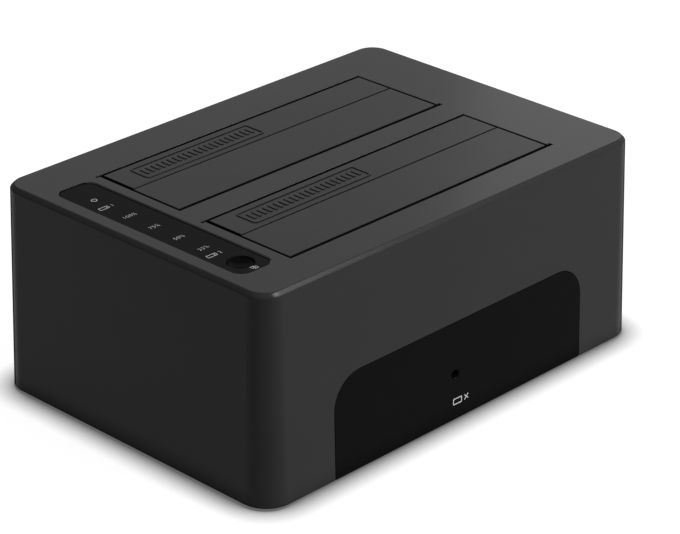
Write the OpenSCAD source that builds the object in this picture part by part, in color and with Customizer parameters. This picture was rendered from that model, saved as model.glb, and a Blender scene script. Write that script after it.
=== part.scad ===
// Docking station for two bare hard drives, standing on its feet, in millimetres.
// X runs to the right along the front, Y runs to the rear, Z runs up from the standing surface.

/* [Body] */
// Width of the body at its lower rim
body_w = 154.6; // [152:0.2:180]
// Depth of the body at its lower rim
body_d = 109.2; // [107:0.2:130]
// Height of the body above its lower rim
body_h = 63; // [60:0.5:75]
// Lean of the side walls, in degrees
draft = 1.55; // [0.5:0.05:2]
// Radius of the upright corners at the lower rim
corner_r = 8.5; // [7.5:0.1:12]
// Width and height of the bowed slope that breaks the top edge
top_edge_r = 1.25; // [1:0.05:3.5]
// Thickness of the side walls
wall_t = 2.4; // [2:0.1:3]
// Thickness of the top
top_t = 2.6; // [2.4:0.1:3.2]
// Thickness of the base cover
base_t = 2.4; // [2.2:0.1:3]
// Gap under the lower rim, made by the feet
foot_gap = 0.8; // [0.4:0.1:3]
// Diameter of a foot
foot_d = 11; // [8:0.5:14]

/* [Drive bays] */
// Length of a slot
slot_l = 105.6; // [104.5:0.1:107]
// Width of a slot
slot_w = 33.9; // [32.6:0.1:34.2]
// Width of the land between the two slots
bay_gap = 9.3; // [9.2:0.1:12]
// Width of the land in front of the front slot, at the top
slot_fore = 12.65; // [12:0.05:15]
// Gap between the main board and the well floors
under_well = 5.9; // [5.5:0.1:9]
// Wall thickness of a bay frame
frame_t = 1.8; // [1.6:0.1:2]

/* [Flaps] */
// Thickness of a flap
flap_t = 1.9; // [1.7:0.05:1.9]
// How far a flap lies below the top
flap_recess = 0.15; // [0.05:0.05:0.6]
// Distance from a slot's rear edge to the line where its flaps meet
split_back = 13.8; // [12:0.1:16]
// Gap between the two flaps
split_gap = 0.45; // [0.4:0.05:0.8]
// Gap behind the narrow flap
narrow_gap = 0.9; // [0.5:0.05:1]
// Gap in front of the wide flap
wide_gap = 1.35; // [0.4:0.05:1.4]
// Gap at the left end of a narrow flap
narrow_end_gap = 1.4; // [0.4:0.05:1.4]
// Gap at the left end of a wide flap
wide_end_gap = 0.85; // [0.4:0.05:1.4]
// Gap at the right end of a flap
flap_end_gap = 0.45; // [0.4:0.05:0.8]
// Height of the plaque's raised outline and ribs
bead_h = 0.25; // [0.15:0.05:0.35]
// Length of the plaque
plaque_l = 46.2; // [30:0.2:50]
// Width of the plaque
plaque_w = 8.3; // [6:0.1:8.4]

/* [Hinges] */
// Diameter of a hinge pin
pin_d = 1; // [0.8:0.05:1.1]
// Diameter of a flap's hinge barrel
barrel_d = 2.3; // [2.2:0.05:2.4]
// Clearance all round between a pin and a flap
hinge_clear = 0.05; // [0.02:0.01:0.08]
// Wire diameter of a flap's spring
wire_d = 0.3; // [0.2:0.02:0.3]
// Turns of a flap's spring
spring_turns = 5; // [3:1:7]

/* [Indicator strip] */
// Width of the strip
strip_w = 12.5; // [12:0.1:13]
// Length of the strip
strip_l = 74.8; // [72:0.2:76]
// Width of the land to the left of the strip, at the top
strip_edge = 5.6; // [4.5:0.1:8]
// Width of the land between the strip and the slots
strip_side = 4.25; // [3.8:0.05:4.6]
// Place of the strip behind the middle of the slots
strip_shift = 0.55; // [-1:0.05:1]
// Corner radius of the strip
strip_r = 3.5; // [2:0.1:5]
// Thickness of the strip
strip_t = 1.3; // [1:0.05:1.4]
// How far the strip lies below the top
strip_recess = 0.3; // [0.1:0.05:0.4]
// Diameter of the push button
button_d = 7.2; // [6:0.1:7.4]
// Distance from the strip's front end to the button's centre
button_end = 6.75; // [6.4:0.05:7.5]
// Travel of the two buttons
button_travel = 0.4; // [0.2:0.05:0.5]

/* [Front panel] */
// Width of the gloss panel
panel_w = 102.4; // [80:0.2:110]
// Height of the gloss panel
panel_h = 30.3; // [26:0.1:36]
// Place of the panel to the right of the middle
panel_x = 0.5; // [-3:0.1:3]
// Radius of the panel's upper corners
panel_r = 10; // [4:0.2:12]
// Place of the pinhole to the right of the middle
pinhole_x = -2.4; // [-8:0.1:8]
// Height of the pinhole above the lower rim
pinhole_h = 14.1; // [13.6:0.1:15]
// Diameter of the pinhole
pinhole_d = 2.6; // [2:0.1:3]

/* [Rear ports] */
// Place of the DC jack to the right of the middle
jack_x = -36; // [-40:0.5:-32]
// Place of the power switch to the right of the middle
switch_x = -11; // [-14:0.5:-8]
// Place of the USB socket to the right of the middle
usb_x = 14; // [11:0.5:17]
// Depth of the recess around the ports
port_recess = 1.2; // [0.8:0.1:1.3]
// Swing of the power rocker, in degrees
rocker_swing = 18; // [12:1:20]

/* [Boards] */
// Thickness of both boards
board_t = 1.6; // [1.2:0.1:1.6]
// Gap between the base cover and the main board
board_lift = 4; // [3.5:0.1:4]
// How far the drive sockets stand above the well floor
socket_stand = 3.6; // [2.5:0.1:4.5]

/* [Hidden] */
$fn = 64;

// Heights
slope = tan(draft);
z_rim = foot_gap;
z_top = z_rim + body_h;
z_ceiling = z_top - top_t;
z_inside = z_rim + base_t;
z_board = z_inside + board_lift + board_t;
well_floor_t = 1.6;
z_well = z_board + under_well + well_floor_t;
seat_gap = 0.1;

// Outer face of the side walls at a height
function wall_x(z) = body_w / 2 - (z - z_rim) * slope;
function wall_y(z) = body_d / 2 - (z - z_rim) * slope;

// Slots, placed from the left and front edges of the top: bay 0 is the rear one
slot_x0 = -wall_x(z_top) + strip_edge + strip_w + strip_side;
slot_x1 = slot_x0 + slot_l;
bays_x = (slot_x0 + slot_x1) / 2;
bays_y = -wall_y(z_top) + slot_fore + slot_w + bay_gap / 2;
function bay_y(bay) = bays_y + (0.5 - bay) * (slot_w + bay_gap);

// Hinges
pin_r = pin_d / 2;
barrel_r = barrel_d / 2;
pin_seat_clear = 0.02;
hinge_inset = barrel_r + 0.25;
hinge_depth = flap_t;
z_hinge = z_top - flap_recess - hinge_depth;
ear_t = 3;
ear_w = 4.4;
ear_top = z_hinge + pin_r + 0.65;
ear_clear = 0.15;
notch_l = 1.2;
flap_x1 = slot_x1 - flap_end_gap;
narrow_reach = split_back - hinge_inset - split_gap / 2;
wide_reach = slot_w - split_back - hinge_inset - split_gap / 2;
// Hinge line of a flap: side +1 is the narrow flap at the rear edge, side -1 the wide one in front
function hinge_y(bay, side) = bay_y(bay) + side * (slot_w / 2 - hinge_inset);
// Left end of a flap and the gap along its hinge
function flap_x0(side) = slot_x0 + (side > 0 ? narrow_end_gap : wide_end_gap);
function hinge_gap(side) = side > 0 ? narrow_gap : wide_gap;

// Springs: where a spring sits on its barrel, measured from the barrel's end
spring_l = 4.2;
spring_in = 6;
coil_r = pin_r + 0.1 + wire_d / 2;
leg_l = 5;
// Outer end of a flap's spring: narrow flaps carry it near the left end, wide flaps near the right
function spring_x(side) = side > 0 ? flap_x0(1) + spring_in : flap_x1 - spring_in;

// Corner pillars and the base screws in them
pillar_r = 3.6;
pillar_x = body_w / 2 - 9.5;
pillar_y = body_d / 2 - 9;
foot_x = pillar_x - 10;
foot_y = pillar_y - 1;
screw_r = 1.25;
screw_l = 10;
head_r = 2.6;
head_t = 1.1;

// Bay frame bosses: small screws drive up into them
boss_r = 2.4;
boss_l = 5;
small_r = 0.95;
small_head_r = 1.8;
small_head_t = 1.1;
tab_t = 2;
tab_w = 6;
z_tab = z_ceiling - boss_l;
// Places of the four bosses of a bay
function boss_at(bay) = [
    for (s = [-1, 1], outer = [0, 1])
        [bays_x + s * (outer ? 6 : (bay == 0 ? 5 : 2.4)) * tab_w,
         outer ? bay_y(bay) + (bay == 0 ? 1 : -1) * (slot_w / 2 + frame_t + boss_r + 0.8) : bays_y]
];

// Strip, its lamps and its board
strip_x = slot_x0 - strip_side - strip_w / 2;
strip_y = bays_y + strip_shift;
z_strip = z_top - strip_recess;
z_strip_under = z_strip - strip_t;
strip_ledge = 1.4;
strip_clear = 0.1;
shield_h = 6;
shield_gap = 0.15;
lamp_w = 2;
lamp_d = 1.3;
lamp_hole_r = 1.5;
z_led_board = z_strip_under - shield_h - shield_gap;
led_board_w = strip_w + 1.7;
led_board_l = 2 * (pillar_y - pillar_r - 1.35 - abs(strip_y));
led_boss_r = 2;
led_boss_x = strip_x + led_board_w / 2 - led_boss_r - 1.55;
led_boss_off = strip_l / 2 + led_boss_r + 0.6;
lamp_at = [for (share = [0.355, 0.276, 0.1585, 0.0247, -0.1063, -0.2346, -0.3]) share * strip_l];
lamp_h = 0.8;
shield_w = strip_w - 2 * strip_ledge - 0.9;
button_y = strip_y - strip_l / 2 + button_end;

// Small push switches
tact_w = 6;
tact_t = 3.5;
stem_r = 1.7;
stem_clear = 0.05;
stem_deep = 1.6;
stem_out = 1.1;
z_stem = z_led_board + tact_t + stem_out;

// Main board
board_x = pillar_x - pillar_r - 6.2;
board_y0 = -(body_d / 2 - wall_t - 4.4);
board_y1 = body_d / 2 - wall_t - 2.2;
standoff_r = 3;
standoff_in = 5;
function standoffs() = [for (x = [-1, 1], y = [board_y0 + standoff_in + 1, board_y1 - standoff_in - 1])
    [x * (board_x - standoff_in), y]];
board_screw_r = 1;
board_screw_l = 5;
board_head_r = 2.2;
board_head_t = 1.2;

// Parts on the main board
bridge_w = 10;
bridge_h = 1.4;
bridge_pitch = 0.8;
memory_w = 5;
memory_d = 4;
memory_h = 1.5;
memory_pitch = 1.27;
lead_w = 0.3;
lead_t = 0.25;
lead_l = 0.9;
crystal_l = 10.5;
crystal_w = 4.2;
crystal_h = 3.4;
cap_r = 3.1;
cap_h = 5.4;
coil_w = 7;
coil_h = 3.4;

// Drive sockets
socket_w = 42.6;
socket_d = 6.4;
socket_x = bays_x + 13.4;
socket_h = z_well + socket_stand - z_board;
socket_slot_w = 2.4;
socket_slot_deep = 6;
// Distance from a slot's rear edge to the socket's middle
socket_back = hinge_inset + hinge_depth + bead_h + 0.3 + 3.5;
function socket_y(bay) = bay_y(bay) + slot_w / 2 - socket_back;
contact_pitch = 1.27;
contact_w = 0.6;
contact_t = 0.3;

// Rear ports
port_z = z_board + 6.5;
port_y = wall_y(port_z) - port_recess;
port_in_y = wall_y(port_z) - wall_t - 0.6;
port_h = 21;
port_z0 = 4.6;
port_clear = 0.3;
jack_bore_r = 3.15;
jack_collar_r = 4;
jack_pin_r = 1;
jack_root_r = 1.4;
jack_pin_l = 8;
jack_deep = 10;
usb_w = 12;
usb_h = 11;
usb_t = 0.5;
usb_l = 13.4;
usb_tongue_w = 5.6;
usb_tongue_h = 3.2;
usb_back_t = 2;
bezel_w = 12.4;
bezel_h = 9.4;
rocker_half = 4.7;
rocker_h = 6.8;
rocker_y = port_y - 2.2;
rocker_pin_r = 0.8;

// Front panel
flange_w = 1.8;
flange_t = 1.2;
panel_clear = 0.12;
z_pinhole = z_rim + pinhole_h;
erase_face_y = board_y0 + 0.6;
erase_tip_y = -wall_y(z_pinhole) + wall_t + flange_t + 0.5;

// Ribbon between the boards and its two headers
link_w = 10;
link_t = 0.9;
link_y = bays_y + 10;
link_bend = 4;
link_x = strip_x;
header_t = 4.6;
header_h = 4.4;
z_link_top = z_led_board - board_t - header_h;
z_link = z_board + 2.2;

// Shared shapes
// Block with leaning walls, cone-shaped corners and a rounded top edge, standing on the plane z = 0
module leaning_block(w, d, h, r, edge) {
    edge_x = r - (h - edge) * slope;
    bow = 0.1 * edge;
    arc = [for (i = [0 : 4]) let (t = i / 4)
        [edge_x - edge * t + bow * t * (1 - t), h - edge + edge * t + bow * t * (1 - t)]];
    hull()
        for (x = [-1, 1], y = [-1, 1])
            translate([x * (w / 2 - r), y * (d / 2 - r), 0])
                rotate_extrude($fn = 32)
                    polygon(concat([[0, 0], [r, 0]], arc, [[0, h]]));
}

// Flat outline with four rounded corners, centred
module round_rect(w, d, r) {
    square([w - 2 * r, d], center = true);
    square([w, d - 2 * r], center = true);
    for (x = [-1, 1], y = [-1, 1])
        translate([x * (w / 2 - r), y * (d / 2 - r)])
            circle(r);
}

// Flat outline that stands on its lower edge and has two rounded upper corners
module arch(w, h, r) {
    translate([-w / 2, 0])
        square([w, h - r]);
    translate([-w / 2 + r, 0])
        square([w - 2 * r, h]);
    for (x = [-1, 1])
        translate([x * (w / 2 - r), h - r])
            circle(r);
}

// Stands a flat outline up along the front face, its outer side y0 mm behind the face
module on_front(x, y0, t) {
    translate([x, -body_d / 2, z_rim])
        rotate([-draft, 0, 0])
            translate([0, y0 + t, 0])
                rotate([90, 0, 0])
                    linear_extrude(t)
                        children();
}

// Cylinder along X from x0 to x1
module bar_x(x0, x1, r) {
    translate([x0, 0, 0])
        rotate([0, 90, 0])
            cylinder(r = r, h = x1 - x0);
}

// Pan head screw that points up, its head's upper face on the plane z = 0
module screw_up(shank_r, shank_l, cap_r, cap_t) {
    difference() {
        union() {
            translate([0, 0, -cap_t])
                cylinder(r = cap_r, h = cap_t);
            cylinder(r = shank_r, h = shank_l);
        }
        for (a = [0, 90])
            rotate(a)
                translate([-0.62 * cap_r, -0.13 * cap_r, -cap_t - 1])
                    cube([1.24 * cap_r, 0.26 * cap_r, 1 + 0.6 * cap_t]);
    }
}

// Body
module upper_housing() {
    color([0.13, 0.13, 0.14])
        difference() {
            union() {
                difference() {
                    translate([0, 0, z_rim])
                        leaning_block(body_w, body_d, body_h, corner_r, top_edge_r);
                    translate([0, 0, z_rim - 1])
                        leaning_block(body_w - 2 * wall_t + 2 * slope, body_d - 2 * wall_t + 2 * slope,
                            body_h - top_t + 1, corner_r - wall_t + slope, 1);
                }
                for (x = [-1, 1], y = [-1, 1])
                    translate([x * pillar_x, y * pillar_y, z_inside])
                        cylinder(r = pillar_r, h = z_ceiling + 0.5 - z_inside);
                for (bay = [0, 1], p = boss_at(bay))
                    translate([p[0], p[1], z_tab])
                        cylinder(r = boss_r, h = boss_l + 0.5, $fn = 32);
                for (s = [-1, 1])
                    translate([led_boss_x, strip_y + s * led_boss_off, z_led_board])
                        cylinder(r = led_boss_r, h = z_ceiling + 0.5 - z_led_board, $fn = 32);
            }
            for (x = [-1, 1], y = [-1, 1])
                translate([x * pillar_x, y * pillar_y, z_inside - 1])
                    cylinder(r = screw_r + 0.05, h = screw_l + 1, $fn = 32);
            for (bay = [0, 1], p = boss_at(bay))
                translate([p[0], p[1], z_tab - 1])
                    cylinder(r = small_r + 0.05, h = boss_l + 0.4, $fn = 24);
            for (s = [-1, 1])
                translate([led_boss_x, strip_y + s * led_boss_off, z_led_board - 1])
                    cylinder(r = small_r + 0.05, h = 5, $fn = 24);
            for (bay = [0, 1]) {
                translate([slot_x0, bay_y(bay) - slot_w / 2, z_ceiling - 1])
                    cube([slot_l, slot_w, top_t + 2]);
                for (side = [-1, 1], x = [slot_x0 - ear_t - ear_clear, slot_x1 - 0.5])
                    translate([x, hinge_y(bay, side) - ear_w / 2 - ear_clear, z_ceiling - 1])
                        cube([ear_t + ear_clear + 0.5, ear_w + 2 * ear_clear,
                            ear_top + ear_clear - z_ceiling + 1]);
                for (side = [-1, 1])
                    translate([side > 0 ? slot_x0 : slot_x1,
                        bay_y(bay) + side * (slot_w - hinge_gap(side)) / 2, z_top])
                        cube([2 * notch_l, hinge_gap(side), 4], center = true);
            }
            translate([strip_x, strip_y, z_strip_under])
                linear_extrude(top_t)
                    round_rect(strip_w + 2 * strip_clear, strip_l + 2 * strip_clear, strip_r + strip_clear);
            translate([strip_x, strip_y, z_ceiling + top_t / 2 - 1])
                cube([strip_w - 2 * strip_ledge, strip_l - 2 * strip_ledge, top_t], center = true);
            translate([0, 0, -1])
                on_front(panel_x, -1, wall_t + 2)
                    arch(panel_w + 2 * panel_clear, panel_h + panel_clear + 1, panel_r + panel_clear);
            rear_openings();
        }
}

// Recess around the rear ports and the three openings in it
module rear_openings() {
    port_x0 = jack_x - 10;
    port_x1 = usb_x + 13;
    translate([(port_x0 + port_x1) / 2, body_d / 2, z_rim])
        rotate([draft, 0, 0])
            translate([0, 1, port_z0 + port_h / 2])
                rotate([90, 0, 0])
                    linear_extrude(port_recess + 1)
                        round_rect(port_x1 - port_x0, port_h, 2);
    translate([jack_x, body_d / 2 + 1, port_z])
        rotate([90, 0, 0])
            cylinder(r = jack_collar_r + port_clear, h = wall_t + 5);
    translate([usb_x - usb_w / 2 - port_clear, port_in_y - 1, z_board - port_clear])
        cube([usb_w + 2 * port_clear, wall_t + 5, usb_h + 2 * port_clear]);
    translate([switch_x - bezel_w / 2 - port_clear, port_in_y - 1, port_z - bezel_h / 2 - port_clear])
        cube([bezel_w + 2 * port_clear, wall_t + 5, bezel_h + 2 * port_clear]);
}

module base_cover() {
    edge_gap = 0.3;
    vent_n = 9;
    color([0.1, 0.1, 0.11])
        difference() {
            union() {
                translate([0, 0, z_rim])
                    linear_extrude(base_t)
                        round_rect(body_w - 2 * wall_t - 2 * edge_gap, body_d - 2 * wall_t - 2 * edge_gap,
                            corner_r - wall_t - edge_gap);
                for (p = standoffs())
                    translate([p[0], p[1], z_inside - 0.5])
                        cylinder(r = standoff_r, h = board_lift + 0.5);
            }
            for (p = standoffs())
                translate([p[0], p[1], z_inside + 0.4 - base_t / 2])
                    cylinder(r = board_screw_r + 0.05, h = board_lift + base_t, $fn = 24);
            for (x = [-1, 1], y = [-1, 1]) {
                translate([x * pillar_x, y * pillar_y, z_rim - 1]) {
                    cylinder(r = screw_r + 0.2, h = base_t + 2, $fn = 32);
                    cylinder(r = head_r + 0.3, h = 1 + head_t, $fn = 32);
                }
                translate([x * foot_x, y * foot_y, z_rim - 1])
                    cylinder(r = foot_d / 2 + 0.1, h = 2);
            }
            for (x = [-1, 1], i = [0 : vent_n - 1])
                translate([x * 26 + (i - (vent_n - 1) / 2) * 4.4, 0, z_rim - 1])
                    linear_extrude(base_t + 2)
                        round_rect(1.8, 22, 0.85);
        }
}

module rubber_feet() {
    color([0.2, 0.2, 0.2])
        for (x = [-1, 1], y = [-1, 1])
            translate([x * foot_x, y * foot_y, 0])
                cylinder(r = foot_d / 2, h = z_rim + 1);
}

module base_screws() {
    color([0.7, 0.7, 0.72])
        for (x = [-1, 1], y = [-1, 1])
            translate([x * pillar_x, y * pillar_y, z_rim + head_t])
                screw_up(screw_r, screw_l, head_r, head_t - 0.1);
}

module front_panel() {
    low = base_t + 0.4;
    color([0.05, 0.05, 0.05])
        difference() {
            union() {
                on_front(panel_x, 0, wall_t + flange_t)
                    arch(panel_w, panel_h, panel_r);
                on_front(panel_x, wall_t + 0.1, flange_t - 0.1)
                    arch(panel_w + 2 * flange_w, panel_h + flange_w, panel_r + flange_w);
            }
            on_front(panel_x, wall_t - 0.1, flange_t + 2)
                translate([0, low / 2 - 1])
                    square([panel_w + 4 * flange_w, low + 2], center = true);
            translate([pinhole_x, -body_d / 2 + wall_t + flange_t + 2, z_pinhole])
                rotate([90, 0, 0])
                    cylinder(d = pinhole_d, h = wall_t + flange_t + 4);
            translate([pinhole_x, -wall_y(z_pinhole) + 0.4, z_pinhole])
                rotate([90, 0, 0])
                    cylinder(d1 = pinhole_d, d2 = pinhole_d + 2, h = 1);
        }
}

module indicator_strip() {
    color([0.07, 0.07, 0.08])
        difference() {
            translate([strip_x, strip_y, z_strip_under])
                linear_extrude(strip_t)
                    round_rect(strip_w, strip_l, strip_r);
            translate([strip_x, button_y, z_strip_under - 1])
                cylinder(d = button_d + 0.6, h = strip_t + 2);
        }
}

// Drive bays
// Well of one bay: open box under a slot with ears for the hinge pins and screw tabs
module bay_frame(bay) {
    y0 = bay_y(bay) - slot_w / 2;
    z_under = z_well - well_floor_t;
    difference() {
        union() {
            translate([slot_x0 - frame_t, y0 - frame_t, z_under])
                cube([slot_l + 2 * frame_t, slot_w + 2 * frame_t, z_ceiling - seat_gap - z_under]);
            for (side = [-1, 1], x = [slot_x0 - ear_t, slot_x1])
                translate([x, hinge_y(bay, side) - ear_w / 2, z_ceiling - 4])
                    cube([ear_t, ear_w, ear_top - z_ceiling + 4]);
            for (p = boss_at(bay))
                let (up = p[1] > bay_y(bay) ? 1 : -1, root = bay_y(bay) + up * (slot_w / 2 + frame_t / 2))
                    translate([p[0] - tab_w / 2, min(root, p[1] + up * 2.5), z_tab - tab_t])
                        cube([tab_w, abs(p[1] + up * 2.5 - root), tab_t]);
        }
        translate([slot_x0, y0, z_well])
            cube([slot_l, slot_w, body_h]);
        translate([socket_x - socket_w / 2 - 0.5, socket_y(bay) - socket_d / 2 - 0.5, z_under - 1])
            cube([socket_w + 1, socket_d + 1, well_floor_t + 2]);
        for (side = [-1, 1]) {
            translate([0, hinge_y(bay, side), z_hinge])
                bar_x(slot_x0 - ear_t - 1, slot_x1 + ear_t + 1, pin_r + pin_seat_clear);
            translate([spring_x(side) + side * wire_d, bay_y(bay) + side * (slot_w + frame_t) / 2,
                z_hinge - coil_r - wire_d / 2 - 0.1 + 2])
                cube([wire_d + 0.2, frame_t + 1, 4], center = true);
        }
        for (p = boss_at(bay))
            translate([p[0], p[1], z_tab - tab_t - 1])
                cylinder(r = small_r + 0.25, h = tab_t + 2, $fn = 24);
    }
}

module rear_bay_frame() {
    color([0.16, 0.16, 0.17])
        bay_frame(0);
}

module front_bay_frame() {
    color([0.16, 0.16, 0.17])
        bay_frame(1);
}

module bay_frame_screws() {
    color([0.7, 0.7, 0.72])
        for (bay = [0, 1], p = boss_at(bay))
            translate([p[0], p[1], z_tab - tab_t])
                screw_up(small_r, tab_t + boss_l - 1.2, small_head_r, small_head_t);
}

// One flap with its hinge line on the X axis and its free edge towards +Y
module flap(side, reach, spring_from) {
    x0 = flap_x0(side);
    y0 = hinge_gap(side) - hinge_inset;
    difference() {
        union() {
            translate([x0, y0, hinge_depth - flap_t])
                cube([flap_x1 - x0, reach - y0, flap_t]);
            bar_x(x0, flap_x1, barrel_r);
        }
        bar_x(x0 - 1, flap_x1 + 1, pin_r + hinge_clear);
        bar_x(spring_from, spring_from + spring_l, barrel_r + 0.1);
        translate([spring_from, -hinge_inset, -barrel_r - 1])
            cube([spring_l, 2 * hinge_inset, barrel_r + 1]);
    }
}

// Raised outline and grip ribs on a narrow flap, in the flap's own frame
module plaque() {
    rib_n = 21;
    rib_pitch = (plaque_l - 5) / (rib_n - 1);
    translate([flap_x0(1) + 7.4 + plaque_l / 2, (narrow_reach + narrow_gap - hinge_inset) / 2,
        hinge_depth - 0.2]) {
        linear_extrude(bead_h + 0.2)
            difference() {
                round_rect(plaque_l, plaque_w, 1.2);
                round_rect(plaque_l - 1.2, plaque_w - 1.2, 0.6);
            }
        for (i = [0 : rib_n - 1])
            translate([(i - (rib_n - 1) / 2) * rib_pitch - 0.45, -1.7, 0])
                cube([0.9, 3.4, bead_h + 0.2]);
    }
}

module narrow_flap(bay) {
    color([0.15, 0.15, 0.16])
        translate([0, hinge_y(bay, 1), z_hinge])
            mirror([0, 1, 0]) {
                flap(1, narrow_reach, spring_x(1));
                plaque();
            }
}

module wide_flap(bay) {
    color([0.15, 0.15, 0.16])
        translate([0, hinge_y(bay, -1), z_hinge])
            flap(-1, wide_reach, spring_x(-1) - spring_l);
}

module rear_bay_narrow_flap() {
    narrow_flap(0);
}

module rear_bay_wide_flap() {
    wide_flap(0);
}

module front_bay_narrow_flap() {
    narrow_flap(1);
}

module front_bay_wide_flap() {
    wide_flap(1);
}

module hinge_pin(bay, side) {
    color([0.75, 0.75, 0.77])
        translate([0, hinge_y(bay, side), z_hinge])
            bar_x(slot_x0 - ear_t, slot_x1 + ear_t, pin_r);
}

module rear_bay_narrow_pin() {
    hinge_pin(0, 1);
}

module rear_bay_wide_pin() {
    hinge_pin(0, -1);
}

module front_bay_narrow_pin() {
    hinge_pin(1, 1);
}

module front_bay_wide_pin() {
    hinge_pin(1, -1);
}

// Torsion spring round the X axis from x = 0: its fixed leg runs to -Y, its moving leg to +Y
module torsion_spring() {
    ring_n = 6;
    turn_n = 12;
    coil_l = spring_l - 2 * wire_d;
    start = [[0, -hinge_inset - frame_t * 0.6, -coil_r], [0, -0.5, -coil_r]];
    coil = [for (i = [0 : turn_n * spring_turns]) let (a = -90 + 360 * i / turn_n)
        [coil_l * i / (turn_n * spring_turns), coil_r * cos(a), coil_r * sin(a)]];
    end = [[coil_l, 0.5, -coil_r + 0.03], [coil_l, leg_l, -wire_d / 2 - 0.05]];
    path = concat(start, coil, end);
    n = len(path);
    points = [for (i = [0 : n - 1])
        let (t = path[min(i + 1, n - 1)] - path[max(i - 1, 0)], d = t / norm(t),
             s = cross(d, [1, 0.001, 0]), u = s / norm(s), v = cross(d, u))
        for (k = [0 : ring_n - 1]) path[i] + wire_d / 2 * (u * cos(60 * k) + v * sin(60 * k))];
    walls = [for (i = [0 : n - 2], k = [0 : ring_n - 1])
        let (a = i * ring_n + k, b = i * ring_n + (k + 1) % ring_n)
        each [[a, a + ring_n, b], [b, a + ring_n, b + ring_n]]];
    caps = [[for (k = [0 : ring_n - 1]) k], [for (k = [ring_n - 1 : -1 : 0]) (n - 1) * ring_n + k]];
    polyhedron(points, concat(walls, caps));
}

module flap_spring(bay, side) {
    color([0.8, 0.8, 0.82])
        translate([spring_x(side), hinge_y(bay, side), z_hinge])
            scale([side, -side, 1])
                translate([wire_d, 0, 0])
                    torsion_spring();
}

module rear_bay_narrow_spring() {
    flap_spring(0, 1);
}

module rear_bay_wide_spring() {
    flap_spring(0, -1);
}

module front_bay_narrow_spring() {
    flap_spring(1, 1);
}

module front_bay_wide_spring() {
    flap_spring(1, -1);
}

// Main board and what stands on it
module main_board() {
    color([0.08, 0.3, 0.16])
        difference() {
            translate([-board_x, board_y0, z_board - board_t])
                cube([2 * board_x, board_y1 - board_y0, board_t]);
            for (p = standoffs())
                translate([p[0], p[1], z_board - board_t - 1])
                    cylinder(r = board_screw_r + 0.4, h = board_t + 2, $fn = 32);
        }
}

module main_board_screws() {
    color([0.7, 0.7, 0.72])
        for (p = standoffs())
            translate([p[0], p[1], z_board])
                mirror([0, 0, 1])
                    screw_up(board_screw_r, board_screw_l, board_head_r, board_head_t);
}

// Chip with a row of leads on two or four sides
module chip(w, d, h, pitch, sides) {
    translate([-w / 2, -d / 2, lead_t / 2])
        cube([w, d, h - lead_t / 2]);
    for (a = [0 : 360 / sides : 359])
        rotate(a)
            for (x = [-w / 2 + pitch : pitch : w / 2 - pitch / 2])
                translate([x - lead_w / 2, d / 2 - lead_w, 0])
                    cube([lead_w, lead_l + lead_w, lead_t]);
}

module bridge_chip() {
    color([0.1, 0.1, 0.1])
        translate([bays_x - 2.3 * bridge_w, bays_y + 0.8 * bridge_w, z_board])
            chip(bridge_w, bridge_w, bridge_h, bridge_pitch, 4);
}

module memory_chip() {
    color([0.1, 0.1, 0.1])
        translate([bays_x - 2.3 * bridge_w, bays_y - 0.8 * bridge_w, z_board])
            chip(memory_w, memory_d, memory_h, memory_pitch, 2);
}

module crystal() {
    color([0.75, 0.75, 0.75])
        translate([bays_x - 0.9 * crystal_l, bays_y + 0.8 * bridge_w, z_board])
            linear_extrude(crystal_h)
                round_rect(crystal_l, crystal_w, 0.45 * crystal_w);
}

module capacitors() {
    color([0.65, 0.65, 0.68])
        for (i = [0 : 2])
            translate([board_x - standoff_in - (2.2 + 2.3 * i) * cap_r, board_y1 - 1.6 * cap_r, z_board])
                cylinder(r = cap_r, h = cap_h);
}

module coils() {
    color([0.22, 0.22, 0.22])
        for (i = [0, 1])
            translate([bays_x - (5.2 + 1.4 * i) * coil_w, bays_y - 0.8 * bridge_w - coil_w / 2, z_board])
                cube([coil_w, coil_w, coil_h]);
}

// Upright drive socket with a short data slot and a long power slot
module drive_socket(bay) {
    color([0.05, 0.05, 0.06])
        translate([socket_x, socket_y(bay), z_board])
            difference() {
                translate([-socket_w / 2, -socket_d / 2, 0])
                    cube([socket_w, socket_d, socket_h]);
                for (s = socket_slots())
                    translate([s[0], -socket_slot_w / 2, socket_h - socket_slot_deep])
                        cube([s[1], socket_slot_w, socket_slot_deep + 1]);
            }
}

// Start and length of the two slots, along the socket
function socket_slots() = [[-socket_w / 2 + 2.4, 11.6], [-socket_w / 2 + 17.4, 22]];

module socket_contacts(bay) {
    counts = [7, 15];
    color([0.85, 0.7, 0.35])
        translate([socket_x, socket_y(bay), z_board])
            for (k = [0, 1], i = [0 : counts[k] - 1])
                translate([socket_slots()[k][0] + socket_slots()[k][1] / 2
                    + (i - (counts[k] - 1) / 2) * contact_pitch - contact_w / 2,
                    socket_slot_w / 2 - contact_t, socket_h - socket_slot_deep])
                    cube([contact_w, contact_t, socket_slot_deep - 0.6]);
}

module rear_bay_socket() {
    drive_socket(0);
}

module front_bay_socket() {
    drive_socket(1);
}

module rear_bay_contacts() {
    socket_contacts(0);
}

module front_bay_contacts() {
    socket_contacts(1);
}

// Rear ports
module dc_jack() {
    color([0.06, 0.06, 0.06])
        difference() {
            union() {
                translate([jack_x - 4.5, port_in_y - 12, z_board])
                    cube([9, 12, 11]);
                translate([jack_x, port_y, port_z])
                    rotate([90, 0, 0])
                        cylinder(r = jack_collar_r, h = port_y - port_in_y + 1);
            }
            translate([jack_x, port_y + 1, port_z])
                rotate([90, 0, 0])
                    cylinder(r = jack_bore_r, h = jack_deep + 1);
            translate([jack_x, port_y - jack_deep + 1, port_z])
                rotate([90, 0, 0])
                    cylinder(r = jack_root_r, h = 2.5);
        }
}

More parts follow.
